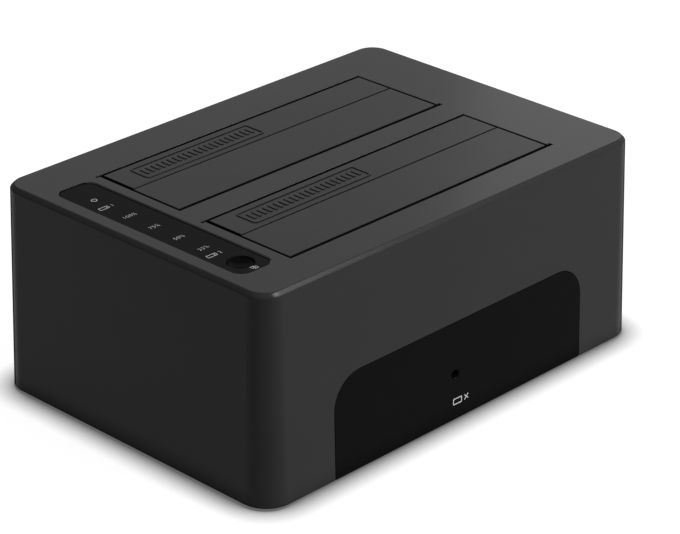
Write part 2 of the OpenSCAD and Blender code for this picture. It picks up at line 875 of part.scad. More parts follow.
module dc_jack_pin() {
    color([0.8, 0.8, 0.82])
        translate([jack_x, port_y - 1, port_z])
            rotate([90, 0, 0]) {
                cylinder(r = jack_pin_r, h = jack_pin_l);
                translate([0, 0, jack_pin_l])
                    cylinder(r = jack_root_r, h = jack_deep + 0.5 - jack_pin_l);
            }
}

// Outline of the USB socket: its two upper corners are cut
module usb_outline(inset) {
    w = usb_w / 2 - inset;
    cut = 2.2;
    polygon([[-w, inset], [w, inset], [w, usb_h - inset - cut], [w - cut, usb_h - inset],
        [-w + cut, usb_h - inset], [-w, usb_h - inset - cut]]);
}

module usb_shell() {
    color([0.78, 0.78, 0.8])
        difference() {
            translate([usb_x, port_y, z_board])
                rotate([90, 0, 0])
                    linear_extrude(usb_l)
                        usb_outline(0);
            translate([usb_x, port_y + 1, z_board])
                rotate([90, 0, 0])
                    linear_extrude(usb_l)
                        usb_outline(usb_t);
        }
}

module usb_tongue() {
    back = port_y - usb_l + 1;
    color([0.08, 0.08, 0.3])
        union() {
            translate([usb_x, back + usb_back_t, z_board])
                rotate([90, 0, 0])
                    linear_extrude(usb_back_t)
                        usb_outline(usb_t + 0.05);
            translate([usb_x - usb_tongue_w / 2, back + usb_back_t - 0.5,
                z_board + (usb_h - usb_tongue_h) / 2])
                cube([usb_tongue_w, usb_l - usb_back_t - 2, usb_tongue_h]);
        }
}

module usb_contacts() {
    front = port_y - 2.6;
    color([0.85, 0.7, 0.35])
        for (x = [-1, 1], s = [-1, 1])
            translate([usb_x + x * 1.25 - 0.4, front - 7,
                z_board + usb_h / 2 + (s > 0 ? usb_tongue_h / 2 : -usb_tongue_h / 2 - 0.2)])
                cube([0.8, 7, 0.2]);
}

module switch_body() {
    deep = 6;
    color([0.06, 0.06, 0.06])
        difference() {
            union() {
                translate([switch_x - bezel_w / 2, port_in_y - 10, z_board])
                    cube([bezel_w, 10, port_z + bezel_h / 2 - z_board]);
                translate([switch_x - bezel_w / 2, port_in_y - 1, port_z - bezel_h / 2])
                    cube([bezel_w, port_y - port_in_y + 1, bezel_h]);
            }
            translate([switch_x - rocker_half - 0.7, port_y - deep, port_z - rocker_h / 2 - 0.25])
                cube([2 * rocker_half + 1.4, deep + 1, rocker_h + 0.5]);
            translate([switch_x, rocker_y, port_z - rocker_h / 2 - 0.85])
                cylinder(r = rocker_pin_r + 0.05, h = rocker_h + 1.7, $fn = 32);
        }
}

module switch_rocker() {
    color([0.12, 0.12, 0.12])
        translate([switch_x, rocker_y, port_z])
            rotate(-rocker_swing / 2) {
                translate([0, 0, -rocker_h / 2])
                    linear_extrude(rocker_h)
                        polygon([[-rocker_half, 2.4], [0, 1.5], [rocker_half, 2.4], [rocker_half, 1.2],
                            [1.4, -1.2], [-1.4, -1.2], [-rocker_half, 1.2]]);
                translate([0, 0, -rocker_h / 2 - 0.75])
                    cylinder(r = rocker_pin_r, h = rocker_h + 1.5, $fn = 32);
            }
}

// Indicator board and the two push switches
module indicator_board() {
    tab_x0 = strip_x - 0.05;
    tab_l = 2 * led_boss_off + 2 * led_boss_r;
    color([0.08, 0.3, 0.16])
        difference() {
            translate([0, 0, z_led_board - board_t])
                union() {
                    translate([strip_x - led_board_w / 2, strip_y - led_board_l / 2, 0])
                        cube([led_board_w, led_board_l, board_t]);
                    translate([tab_x0, strip_y - tab_l / 2, 0])
                        cube([led_board_w / 2 + 0.05, tab_l, board_t]);
                }
            for (s = [-1, 1])
                translate([led_boss_x, strip_y + s * led_boss_off, z_led_board - board_t - 1])
                    cylinder(r = small_r + 0.25, h = board_t + 2, $fn = 24);
        }
}

module indicator_board_screws() {
    color([0.7, 0.7, 0.72])
        for (s = [-1, 1])
            translate([led_boss_x, strip_y + s * led_boss_off, z_led_board - board_t])
                screw_up(small_r, board_t + 3.6, small_head_r, small_head_t);
}

module indicator_lamps() {
    color([0.8, 0.85, 0.95])
        for (y = lamp_at)
            translate([strip_x - lamp_w / 2, strip_y + y - lamp_d / 2, z_led_board])
                cube([lamp_w, lamp_d, lamp_h]);
}

module light_shield() {
    y0 = strip_y + min(lamp_at) - 1.4 * lamp_hole_r;
    y1 = strip_y + max(lamp_at) + 1.4 * lamp_hole_r;
    color([0.9, 0.9, 0.88])
        difference() {
            translate([strip_x - shield_w / 2, y0, z_led_board])
                cube([shield_w, y1 - y0, shield_h]);
            for (y = lamp_at)
                translate([strip_x, strip_y + y, z_led_board - 1])
                    cylinder(r = lamp_hole_r, h = shield_h + 2, $fn = 32);
        }
}

module copy_button() {
    rim_z = z_strip - 0.2;
    dish_r = 16;
    color([0.06, 0.06, 0.06])
        translate([strip_x, button_y, 0])
            difference() {
                union() {
                    translate([0, 0, z_strip_under - 0.5])
                        cylinder(d = button_d, h = rim_z - z_strip_under + 0.5);
                    translate([0, 0, z_strip_under - 1])
                        cylinder(d = button_d + 1.5, h = 0.9);
                    translate([0, 0, z_stem])
                        cylinder(r = 1.4, h = z_strip_under - 0.5 - z_stem, $fn = 32);
                }
                translate([0, 0, rim_z + dish_r - 0.55])
                    sphere(r = dish_r, $fn = 96);
            }
}

module copy_switch_body() {
    color([0.12, 0.12, 0.12])
        translate([strip_x, button_y, z_led_board])
            difference() {
                translate([-tact_w / 2, -tact_w / 2, 0])
                    cube([tact_w, tact_w, tact_t]);
                translate([0, 0, tact_t - stem_deep - button_travel - 0.2])
                    cylinder(r = stem_r + stem_clear, h = 5, $fn = 32);
            }
}

module copy_switch_stem() {
    z0 = z_led_board + tact_t - stem_deep;
    color([0.85, 0.82, 0.75])
        translate([strip_x, button_y, z0])
            cylinder(r = stem_r, h = z_stem - z0, $fn = 32);
}

module erase_switch_body() {
    body_t = 3.4;
    color([0.12, 0.12, 0.12])
        difference() {
            translate([pinhole_x - tact_w / 2, erase_face_y, z_board])
                cube([tact_w, body_t, z_pinhole + tact_w / 2 - z_board]);
            translate([pinhole_x, erase_face_y + stem_deep + button_travel + 0.2, z_pinhole])
                rotate([90, 0, 0])
                    cylinder(r = stem_r + stem_clear, h = 6, $fn = 32);
        }
}

module erase_switch_stem() {
    y1 = erase_face_y + stem_deep;
    color([0.85, 0.82, 0.75])
        translate([pinhole_x, y1, z_pinhole])
            rotate([90, 0, 0])
                cylinder(r = stem_r, h = y1 - erase_tip_y, $fn = 32);
}

// Ribbon between the boards: down from the indicator board, round a bend, into the main board's header
module link_ribbon() {
    color([0.6, 0.6, 0.62])
        translate([0, link_y + link_w / 2, 0])
            rotate([90, 0, 0])
                linear_extrude(link_w) {
                    translate([link_x - link_t / 2, z_link + link_bend])
                        square([link_t, z_link_top - z_link - link_bend]);
                    translate([link_x + link_bend, z_link - link_t / 2])
                        square([-board_x + 0.4 - link_x - link_bend, link_t]);
                    translate([link_x + link_bend, z_link + link_bend])
                        intersection() {
                            difference() {
                                circle(link_bend + link_t / 2);
                                circle(link_bend - link_t / 2);
                            }
                            translate([-2 * link_bend, -2 * link_bend])
                                square(2 * link_bend);
                        }
                }
}

module link_headers() {
    color([0.9, 0.88, 0.8]) {
        translate([link_x - header_t / 2, link_y - link_w / 2 - 1, z_link_top])
            cube([header_t, link_w + 2, header_h]);
        translate([-board_x + 0.4, link_y - link_w / 2 - 1, z_board])
            cube([header_t, link_w + 2, header_h]);
    }
}

upper_housing();
base_cover();
rubber_feet();
base_screws();
front_panel();
indicator_strip();
rear_bay_frame();
front_bay_frame();
bay_frame_screws();
rear_bay_narrow_flap();
rear_bay_wide_flap();
front_bay_narrow_flap();
front_bay_wide_flap();
rear_bay_narrow_pin();
rear_bay_wide_pin();
front_bay_narrow_pin();
front_bay_wide_pin();
rear_bay_narrow_spring();
rear_bay_wide_spring();
front_bay_narrow_spring();
front_bay_wide_spring();
main_board();
main_board_screws();
bridge_chip();
memory_chip();
crystal();
capacitors();
coils();
rear_bay_socket();
front_bay_socket();
rear_bay_contacts();
front_bay_contacts();
dc_jack();
dc_jack_pin();
usb_shell();
usb_tongue();
usb_contacts();
switch_body();
switch_rocker();
indicator_board();
indicator_board_screws();
indicator_lamps();
light_shield();
copy_button();
copy_switch_body();
copy_switch_stem();
erase_switch_body();
erase_switch_stem();
link_ribbon();
link_headers();
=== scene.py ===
"""Looks of a docking station for two bare hard drives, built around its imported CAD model."""

import math

import bmesh
import bpy
from mathutils import Matrix, Vector


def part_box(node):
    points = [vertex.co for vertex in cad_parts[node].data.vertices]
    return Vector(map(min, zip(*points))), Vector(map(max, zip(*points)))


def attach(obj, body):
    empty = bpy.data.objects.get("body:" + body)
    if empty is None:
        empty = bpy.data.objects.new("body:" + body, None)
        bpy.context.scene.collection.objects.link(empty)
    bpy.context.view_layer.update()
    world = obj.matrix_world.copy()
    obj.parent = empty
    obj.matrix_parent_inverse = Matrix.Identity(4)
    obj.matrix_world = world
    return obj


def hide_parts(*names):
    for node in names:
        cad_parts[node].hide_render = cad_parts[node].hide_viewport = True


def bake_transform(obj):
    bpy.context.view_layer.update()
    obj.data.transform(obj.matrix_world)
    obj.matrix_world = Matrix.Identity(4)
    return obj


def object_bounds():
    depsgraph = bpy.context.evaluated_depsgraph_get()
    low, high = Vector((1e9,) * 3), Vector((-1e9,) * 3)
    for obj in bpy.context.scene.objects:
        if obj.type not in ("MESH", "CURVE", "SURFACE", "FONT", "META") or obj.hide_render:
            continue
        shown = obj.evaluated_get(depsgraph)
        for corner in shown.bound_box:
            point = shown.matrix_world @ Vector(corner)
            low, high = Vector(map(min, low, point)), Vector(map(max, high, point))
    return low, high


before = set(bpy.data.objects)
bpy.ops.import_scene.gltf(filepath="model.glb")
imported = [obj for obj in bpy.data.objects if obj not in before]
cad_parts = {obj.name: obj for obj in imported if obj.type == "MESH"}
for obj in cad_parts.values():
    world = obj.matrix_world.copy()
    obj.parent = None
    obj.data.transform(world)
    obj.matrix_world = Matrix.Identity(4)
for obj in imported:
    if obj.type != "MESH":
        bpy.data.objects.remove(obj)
cad_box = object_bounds()

# Camera: a long lens in front and to the left of the dock, looking down on it from the photograph's angle.
# Its place is the distance at which the dock fills a picture of 680 x 534 points.
mm = 0.001
azimuth, elevation, roll = (math.radians(angle) for angle in (-45.858, 25.74, 0.126))
distance = 829.369 * mm
target = Vector((-1.138, -7.776, 32.33)) * mm
back = Vector((
    math.sin(azimuth) * math.cos(elevation),
    -math.cos(azimuth) * math.cos(elevation),
    math.sin(elevation),
))
level = Vector((math.cos(azimuth), math.sin(azimuth), 0))
upright = back.cross(level)
right = level * math.cos(roll) + upright * math.sin(roll)
up = upright * math.cos(roll) - level * math.sin(roll)
lens = bpy.data.cameras.new("long_lens")
lens.sensor_width, lens.lens = 36, 152.19
camera = bpy.data.objects.new("camera", lens)
camera.matrix_world = (
    Matrix.Translation(target + back * distance) @ Matrix((right, up, back)).transposed().to_4x4()
)
scene = bpy.context.scene
scene.collection.objects.link(camera)
scene.camera = camera


# Base cover: the flat lid under the dock, injection moulded in black ABS with two groups of vent slots.
# Four posts on its upper side carry the main board, and four screws hold it to the housing's pillars.
def srgb(code):
    """An sRGB hex colour as linear red, green, blue and alpha."""
    parts = [int(code[place:place + 2], 16) / 255 for place in (1, 3, 5)]
    return [c / 12.92 if c <= 0.04045 else ((c + 0.055) / 1.055) ** 2.4 for c in parts] + [1]


def add(tree, kind, inputs=None, **settings):
    """Adds a node with its settings, and sets its inputs or links them to other nodes' outputs."""
    made = tree.nodes.new(kind)
    for name, value in settings.items():
        setattr(made, name, value)
    for name, value in (inputs or {}).items():
        if isinstance(value, bpy.types.NodeSocket):
            tree.links.new(value, made.inputs[name])
        else:
            made.inputs[name].default_value = value
    return made


def material(name, colour, roughness, more=None):
    """A new material with these plain values: itself, its tree, its shader and its object coordinates."""
    made = bpy.data.materials.new(name)
    made.use_nodes = True
    shader = made.node_tree.nodes["Principled BSDF"]
    for socket, value in {"Base Color": srgb(colour), "Roughness": roughness, **(more or {})}.items():
        shader.inputs[socket].default_value = value
    place = add(made.node_tree, "ShaderNodeTexCoord").outputs["Object"]
    return made, made.node_tree, shader, place


def link(tree, shader, sockets):
    """Links other nodes' outputs to a shader's sockets."""
    for socket, output in sockets.items():
        tree.links.new(output, shader.inputs[socket])


def noise(tree, place, size, detail):
    """Cloudy noise of about this size in mm."""
    return add(tree, "ShaderNodeTexNoise", {
        "Vector": place, "Scale": 1 / (size * mm), "Detail": detail}).outputs["Fac"]


def mix(tree, factor, first, second):
    """A colour between two, each a hex colour or another node's output."""
    first, second = (srgb(end) if isinstance(end, str) else end for end in (first, second))
    return add(tree, "ShaderNodeMix", {0: factor, 6: first, 7: second}, data_type="RGBA").outputs[2]


def between(tree, value, low, high, start=0.0, stop=1.0):
    """Goes from low to high while a value goes from start to stop."""
    return add(tree, "ShaderNodeMapRange", {
        "Value": value, "From Min": start, "From Max": stop, "To Min": low, "To Max": high}).outputs["Result"]


def relief(tree, height, depth):
    """The normal of a surface with relief of this depth in mm."""
    return add(tree, "ShaderNodeBump", {
        "Height": height, "Distance": depth * mm, "Strength": 1.0}).outputs["Normal"]


def moulded(name, colour, clouded, roughness, specular, grain=0.5, depth=0.012, spread=0.05, shade_reach=0):
    """Moulded plastic: spark-eroded grain, with colour and sheen that cloud a little where the melt flowed.

    The grain hides its own sheen at a glancing angle. Grooves and gaps up to this wide in mm get painted shade:
    ambient occlusion darkens their base colour towards black.
    """
    flow_size, painted_shade_colour = 22, "#070707"
    sheen_fades, sheen_gone = 0.63, 0.8
    deep_groove, open_face = 0.55, 0.88
    made, tree, shader, place = material(name, colour, roughness, {"Specular IOR Level": specular})
    grit = noise(tree, place, grain, 3.0)
    tint = mix(tree, noise(tree, place, flow_size, 2.0), colour, clouded)
    glance = add(tree, "ShaderNodeLayerWeight", {"Blend": 0.5}).outputs["Facing"]
    sheen = between(tree, grit, roughness - spread, roughness + spread)
    sheen = between(tree, glance, sheen, 1.0, sheen_fades, sheen_gone)
    # Painted shade: the base colour goes towards near black where ambient occlusion finds nearby surfaces, in
    # grooves, gaps and seams.
    if shade_reach:
        crease_ao = add(tree, "ShaderNodeAmbientOcclusion", {"Distance": shade_reach * mm}, samples=8).outputs["AO"]
        tint = mix(tree, between(tree, crease_ao, 0.0, 1.0, deep_groove, open_face), painted_shade_colour, tint)
    link(tree, shader, {"Base Color": tint, "Roughness": sheen, "Normal": relief(tree, grit, depth)})
    return made


def shape_of(node):
    """A CAD node's shape as one closed mesh whose flat faces are whole, so that its edges can be rounded."""
    shape = bmesh.new()
    shape.from_mesh(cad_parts[node].data)
    bmesh.ops.remove_doubles(shape, verts=shape.verts, dist=0.002 * mm)
    bmesh.ops.dissolve_limit(shape, angle_limit=math.radians(0.4), verts=shape.verts, edges=shape.edges)
    return shape


def round_edges(shape, radius, steps=2, where=lambda edge: True):
    """Rounds the outward edges sharper than 35 degrees, as a mould maker breaks them."""
    sharp = [edge for edge in shape.edges
             if len(edge.link_faces) == 2 and edge.calc_face_angle_signed(0) > math.radians(35) and where(edge)]
    bmesh.ops.bevel(shape, geom=sharp, offset=radius * mm, segments=steps, profile=0.5,
                    affect="EDGES", clamp_overlap=False)
    return shape


def settled(piece):
    """Turns what a piece's modifiers make of it into its plain mesh, and removes them."""
    graph = bpy.context.evaluated_depsgraph_get()
    plain = bpy.data.meshes.new_from_object(piece.evaluated_get(graph), depsgraph=graph)
    piece.modifiers.clear()
    piece.data = plain
    return piece


def shaded(piece):
    """Smooth faces, with hard edges where they meet sharply and flat faces kept flat."""
    piece.data.polygons.foreach_set("use_smooth", [True] * len(piece.data.polygons))
    piece.data.set_sharp_from_angle(angle=math.radians(38))
    piece.modifiers.new("flat faces", "WEIGHTED_NORMAL").keep_sharp = True
    return settled(piece)


def piece_of(name, shape, finish):
    """A finished piece from a mesh shape and a material."""
    mesh = bpy.data.meshes.new(name)
    shape.to_mesh(mesh)
    shape.free()
    mesh.materials.clear()
    mesh.materials.append(finish)
    mesh.polygons.foreach_set("material_index", [0] * len(mesh.polygons))
    piece = bpy.data.objects.new(name, mesh)
    scene.collection.objects.link(piece)
    return shaded(piece)


def fit(piece, body, slot, *nodes):
    """The piece moves with a body and stands for these CAD nodes, which are hidden. The slot is not used."""
    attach(piece, body)
    if nodes:
        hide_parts(*nodes)
    return piece


# Black ABS, moulded: a dull grey-black skin. Its grain of about 0.1 mm is drawn at 0.5 mm so that it shows.
base_abs = moulded("moulded_abs_base", "#232325", "#29292b", 0.55, 0.15)
fit(piece_of("base_cover_moulding", round_edges(shape_of("base_cover"), 0.25), base_abs),
    "dock_body", "housing_abs", "base_cover")


# Feet: four discs of soft black rubber, pressed into pockets under the base cover.
# Each is moulded with a rolled rim and a shallow dish, so that only a ring touches the table.
def turned(profile, steps=40):
    """A closed shape turned round the Z axis from (radius, height) points that start and end on it."""
    shape = bmesh.new()
    rings = []
    for radius, height in profile:
        spokes = range(steps if radius else 1)
        rings.append([shape.verts.new((
            radius * mm * math.cos(math.tau * spoke / steps),
            radius * mm * math.sin(math.tau * spoke / steps),
            height * mm)) for spoke in spokes])
    for lower, upper in zip(rings, rings[1:]):
        for spoke in range(steps):
            corners = [ring[place % len(ring)]
                       for ring, place in ((lower, spoke), (lower, spoke + 1), (upper, spoke + 1), (upper, spoke))]
            shape.faces.new(list(dict.fromkeys(corners)))
    bmesh.ops.recalc_face_normals(shape, faces=shape.faces)
    return shape


def tree_with(name, sockets):
    """A new geometry node tree with these named inputs after its geometry: the tree and its input node."""
    tree = bpy.data.node_groups.new(name, "GeometryNodeTree")
    tree.interface.new_socket("Geometry", in_out="INPUT", socket_type="NodeSocketGeometry")
    tree.interface.new_socket("Geometry", in_out="OUTPUT", socket_type="NodeSocketGeometry")
    for socket, kind in sockets.items():
        tree.interface.new_socket(socket, in_out="INPUT", socket_type="NodeSocket" + kind)
    return tree, add(tree, "NodeGroupInput").outputs


# Tree that sets one part at every point of a mesh, each turned about Z by a random angle.
set_at_points, given = tree_with("set_at_points", {
    "Part": "Object", "Turn": "Float", "Seed": "Int", "Material": "Material"})
part = add(set_at_points, "GeometryNodeObjectInfo", {"Object": given["Part"]})
turn = add(set_at_points, "FunctionNodeRandomValue", {
    2: 0.0, 3: given["Turn"], "Seed": given["Seed"]}, data_type="FLOAT")
spin = add(set_at_points, "ShaderNodeCombineXYZ", {"Z": turn.outputs[1]})
stand = add(set_at_points, "GeometryNodeInstanceOnPoints", {
    "Points": given["Geometry"], "Instance": part.outputs["Geometry"], "Rotation": spin.outputs["Vector"]})
whole = add(set_at_points, "GeometryNodeRealizeInstances", {"Geometry": stand.outputs["Instances"]})
dressed = add(set_at_points, "GeometryNodeSetMaterial", {
    "Geometry": whole.outputs["Geometry"], "Material": given["Material"]})
add(set_at_points, "NodeGroupOutput", {"Geometry": dressed.outputs["Geometry"]})


def grown(name, mesh, tree, values):
    """Runs a geometry node tree on a mesh with these inputs, and keeps the result as a plain piece."""
    piece = bpy.data.objects.new(name, mesh)
    scene.collection.objects.link(piece)
    growth = piece.modifiers.new("growth", "NODES")
    growth.node_group = tree
    for socket in tree.interface.items_tree:
        if socket.in_out == "INPUT" and socket.name in values:
            growth[socket.identifier] = values[socket.name]
    return shaded(settled(piece))


def set_out(name, shape, points, finish, turn=0.0, seed=1):
    """Copies of one shape at these points, as one piece."""
    mesh = bpy.data.meshes.new(name + "_part")
    shape.to_mesh(mesh)
    shape.free()
    part = bpy.data.objects.new(name + "_part", mesh)
    scene.collection.objects.link(part)
    places = bpy.data.meshes.new(name)
    places.from_pydata([Vector(point) for point in points], [], [])
    piece = grown(name, places, set_at_points, {"Part": part, "Turn": turn, "Seed": seed, "Material": finish})
    bpy.data.objects.remove(part)
    return piece


def solids_in(node):
    """The box of each separate solid of a CAD node, as (lowest corner, middle, highest corner)."""
    shape = shape_of(node)
    boxes, left = [], set(shape.verts)
    while left:
        found = [left.pop()]
        for vert in found:
            near = {edge.other_vert(vert) for edge in vert.link_edges} & left
            left -= near
            found.extend(near)
        low, high = (Vector(pick(vert.co[axis] for vert in found) for axis in range(3)) for pick in (min, max))
        boxes.append((low, (low + high) / 2, high))
    shape.free()
    return sorted(boxes, key=lambda box: tuple(round(value / mm, 2) for value in box[1]))


def places_in(node, height):
    """The middle of each solid of a CAD node, at this height in metres."""
    return [(middle.x, middle.y, height) for low, middle, high in solids_in(node)]


def mottled(name, colour, roughness, more, size, detail, tints=None, wear=None, depth=None):
    """A material whose colour, roughness and relief follow one cloudy noise of this size in mm."""
    made, tree, shader, place = material(name, colour, roughness, more)
    cloud = noise(tree, place, size, detail)
    if tints:
        link(tree, shader, {"Base Color": mix(tree, cloud, *tints)})
    if wear:
        link(tree, shader, {"Roughness": between(tree, cloud, *wear)})
    if depth:
        link(tree, shader, {"Normal": relief(tree, cloud, depth)})
    return made


# Natural rubber, black, moulded: dead matt, with a fine dusty bloom that greys it in patches.
rubber = mottled("moulded_black_rubber", "#1b1b1c", 0.85, {"Specular IOR Level": 0.25}, 1.6, 4.0,
                 ("#171718", "#262627"), depth=0.03)
foot_r, foot_h = 5.5, 1.8
foot = turned([(0, 0.14), (3.0, 0.14), (3.35, 0.05), (3.7, 0), (4.7, 0), (5.1, 0.07), (5.38, 0.27),
               (foot_r, 0.6), (foot_r, foot_h), (0, foot_h)], 56)
fit(set_out("rubber_feet_moulded", foot, places_in("rubber_feet", 0), rubber),
    "dock_body", "foot_rubber", "rubber_feet")


# Base cover screws: four pan head self-tapping screws of bright zinc-plated steel with a cross recess.
# They sit in pockets of the base cover and cut their thread in the housing's corner pillars.
def cut(piece, *cutters):
    """Takes the cutters' shapes out of a piece."""
    for cutter in cutters:
        taken = piece.modifiers.new("cut", "BOOLEAN")
        taken.operation, taken.solver, taken.object = "DIFFERENCE", "EXACT", cutter
    settled(piece)
    for cutter in cutters:
        bpy.data.objects.remove(cutter)
    return piece


def loft(*rings):
    """A closed shape through rings of the same number of points, with its two ends filled."""
    shape = bmesh.new()
    loops = [[shape.verts.new(Vector(point) * mm) for point in ring] for ring in rings]
    for lower, upper in zip(loops, loops[1:]):
        for place in range(len(lower)):
            after = (place + 1) % len(lower)
            shape.faces.new((lower[place], lower[after], upper[after], upper[place]))
    shape.faces.new(loops[0][::-1])
    shape.faces.new(loops[-1])
    bmesh.ops.recalc_face_normals(shape, faces=shape.faces)
    return shape


def pan_head_screw(shank_r, shank_l, head_r, head_t, pitch=0.7):
    """A screw that points up from its head: domed head, cross recess, ridged shank and blunt tip."""
    profile = [(0, -head_t), (0.6 * head_r, -head_t), (0.86 * head_r, -0.86 * head_t),
               (0.97 * head_r, -0.6 * head_t), (head_r, -0.25 * head_t), (head_r, 0), (0.85 * shank_r, 0)]
    for ridge in range(int((shank_l - 1.2) / pitch)):
        profile += [(0.8 * shank_r, (ridge + 0.4) * pitch), (shank_r, (ridge + 0.75) * pitch),
                    (0.8 * shank_r, (ridge + 1.05) * pitch)]
    profile += [(0.8 * shank_r, shank_l - 0.5), (0.45 * shank_r, shank_l), (0, shank_l)]
    bar, deep = 0.14 * head_r, 0.62 * head_t
    cross = [(bar, bar), (bar, 1), (-bar, 1), (-bar, bar), (-1, bar), (-1, -bar),
             (-bar, -bar), (-bar, -1), (bar, -1), (bar, -bar), (1, -bar), (1, bar)]
    reach = 0.6 * head_r
    wide, small = ([(x * size if abs(x) == 1 else x, y * size if abs(y) == 1 else y, height) for x, y in cross]
                   for size, height in ((reach, -head_t - 0.2), (0.45 * reach, deep - head_t)))
    blank = piece_of("screw_blank", turned(profile, 28), zinc)
    cut(blank, piece_of("cross_bit", loft(wide, small), zinc))
    shape = bmesh.new()
    shape.from_mesh(blank.data)
    bpy.data.objects.remove(blank)
    return shape


# Zinc-plated steel: bright grey metal with a fine crystalline mottle.
metal = {"Metallic": 1.0}
zinc, tree, shader, place = material("zinc_plated_steel", "#b4b6b8", 0.32, metal)
mottle = add(tree, "ShaderNodeTexVoronoi", {"Vector": place, "Scale": 1 / (0.35 * mm)}).outputs["Distance"]
link(tree, shader, {
    "Base Color": mix(tree, mottle, "#9da0a4", "#c6c7c8"), "Roughness": between(tree, mottle, 0.24, 0.42)})
pocket_floor = 1.9 * mm
fit(set_out("base_cover_screws", pan_head_screw(shank_r=1.25, shank_l=10, head_r=2.6, head_t=1.0),
            places_in("base_screws", pocket_floor), zinc, math.tau, 3),
    "dock_body", "screw_steel", "base_screws")


# Main board: glass-fibre laminate with green solder mask over copper tracks, on four posts of the base cover.
# Four small machine screws clamp it; every drive socket and rear port is soldered to it.
def calc(tree, operation, first, second=0.0):
    """One step of arithmetic with values or other nodes' outputs."""
    return add(tree, "ShaderNodeMath", {0: first, 1: second}, operation=operation).outputs[0]


# Solder mask: glassy dark green. Tracks of 0.4 mm on a 2.6 mm grid, broken up in patches, stand a little proud
# and lighter under it, and the sawn edges show the bare yellow laminate.
green_mask, tree, shader, place = material("solder_masked_laminate", "#12402a", 0.38, {"Specular IOR Level": 0.4})
tracks = add(tree, "ShaderNodeTexBrick", {
    "Vector": place, "Scale": 1.0, "Mortar Size": 0.2 * mm, "Brick Width": 7.8 * mm, "Row Height": 2.6 * mm,
    "Color1": (0, 0, 0, 1), "Color2": (0, 0, 0, 1), "Mortar": (1, 1, 1, 1)}).outputs["Color"]
copper = calc(tree, "MULTIPLY", tracks, calc(tree, "GREATER_THAN", noise(tree, place, 9, 1.0), 0.48))
facing = add(tree, "ShaderNodeSeparateXYZ", {"Vector": add(tree, "ShaderNodeNewGeometry").outputs["True Normal"]})
sawn = calc(tree, "LESS_THAN", calc(tree, "ABSOLUTE", facing.outputs["Z"]), 0.5)
tint = mix(tree, sawn, mix(tree, copper, "#0e3824", "#2a6b41"), "#8c8a58")
link(tree, shader, {"Base Color": tint, "Normal": relief(tree, copper, 0.035)})
fit(piece_of("main_board_laminate", round_edges(shape_of("main_board"), 0.08, 1), green_mask),
    "dock_body", "circuit_board", "main_board")
board_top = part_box("main_board")[1].z
screw = pan_head_screw(shank_r=1.0, shank_l=5, head_r=2.2, head_t=1.2, pitch=0.5)
bmesh.ops.rotate(screw, verts=screw.verts, matrix=Matrix.Rotation(math.pi, 3, "X"))
fit(set_out("main_board_clamp_screws", screw, places_in("main_board_screws", board_top), zinc, math.tau, 5),
    "dock_body", "screw_steel", "main_board_screws")


# Chips: a square bridge chip with leads on four sides and a memory chip with leads on two.
# Each is black filled epoxy, moulded with sloping sides round a tinned lead frame and soldered to the board.
row_of_parts, given = tree_with("row_of_parts", {"Count": "Int", "Step": "Vector", "Material": "Material"})
line = add(row_of_parts, "GeometryNodeMeshLine", {"Count": given["Count"], "Offset": given["Step"]}, mode="OFFSET")
stand = add(row_of_parts, "GeometryNodeInstanceOnPoints", {
    "Points": line.outputs["Mesh"], "Instance": given["Geometry"]})
whole = add(row_of_parts, "GeometryNodeRealizeInstances", {"Geometry": stand.outputs["Instances"]})
dressed = add(row_of_parts, "GeometryNodeSetMaterial", {
    "Geometry": whole.outputs["Geometry"], "Material": given["Material"]})
add(row_of_parts, "NodeGroupOutput", {"Geometry": dressed.outputs["Geometry"]})


def row(name, shape, count, step, finish):
    """A row of one shape: this many, each this far on from the last, as one piece."""
    mesh = bpy.data.meshes.new(name)
    shape.to_mesh(mesh)
    shape.free()
    return grown(name, mesh, row_of_parts, {"Count": count, "Step": Vector(step) * mm, "Material": finish})


def joined(name, pieces, turns=None):
    """Several pieces of one material as one, each turned about Z by its angle first."""
    shape = bmesh.new()
    for piece, angle in zip(pieces, turns or [0] * len(pieces)):
        mesh = piece.data.copy()
        mesh.transform(Matrix.Rotation(angle, 4, "Z"))
        shape.from_mesh(mesh)
    finish = pieces[0].data.materials[0]
    for piece in dict.fromkeys(pieces):
        bpy.data.objects.remove(piece)
    return piece_of(name, shape, finish)


def bent_strip(line, width, thick):
    """A strip of sheet metal along (y, z) points in the YZ plane, centred on x = 0."""
    points = [Vector(point) for point in line]
    rings = []
    for place, point in enumerate(points):
        along = (points[min(place + 1, len(points) - 1)] - points[max(place - 1, 0)]).normalized()
        aside = Vector((-along.y, along.x)) * thick / 2
        rings.append([(x, *(point + side * aside)) for x, side in
                      ((-width / 2, -1), (width / 2, -1), (width / 2, 1), (-width / 2, 1))])
    return loft(*rings)


def moved(shape, x, y, z):
    """A shape moved by these distances in mm."""
    bmesh.ops.translate(shape, verts=shape.verts, vec=Vector((x, y, z)) * mm)
    return shape


# Filled epoxy: flat black with a sandy tooth of about 0.05 mm, drawn at 0.15 mm.
epoxy = moulded("moulded_black_epoxy", "#151516", "#1c1c1d", 0.6, 0.3, 0.15, 0.006)
# Tin plate: pale, soft-looking metal with a faint cloud where the solder ran.
tin = mottled("tinned_copper", "#c2c1bb", 0.35, metal, 0.4, 3.0, ("#aaa9a3", "#d3d2cc"), (0.25, 0.5))
square = ((-1, -1), (1, -1), (1, 1), (-1, 1))


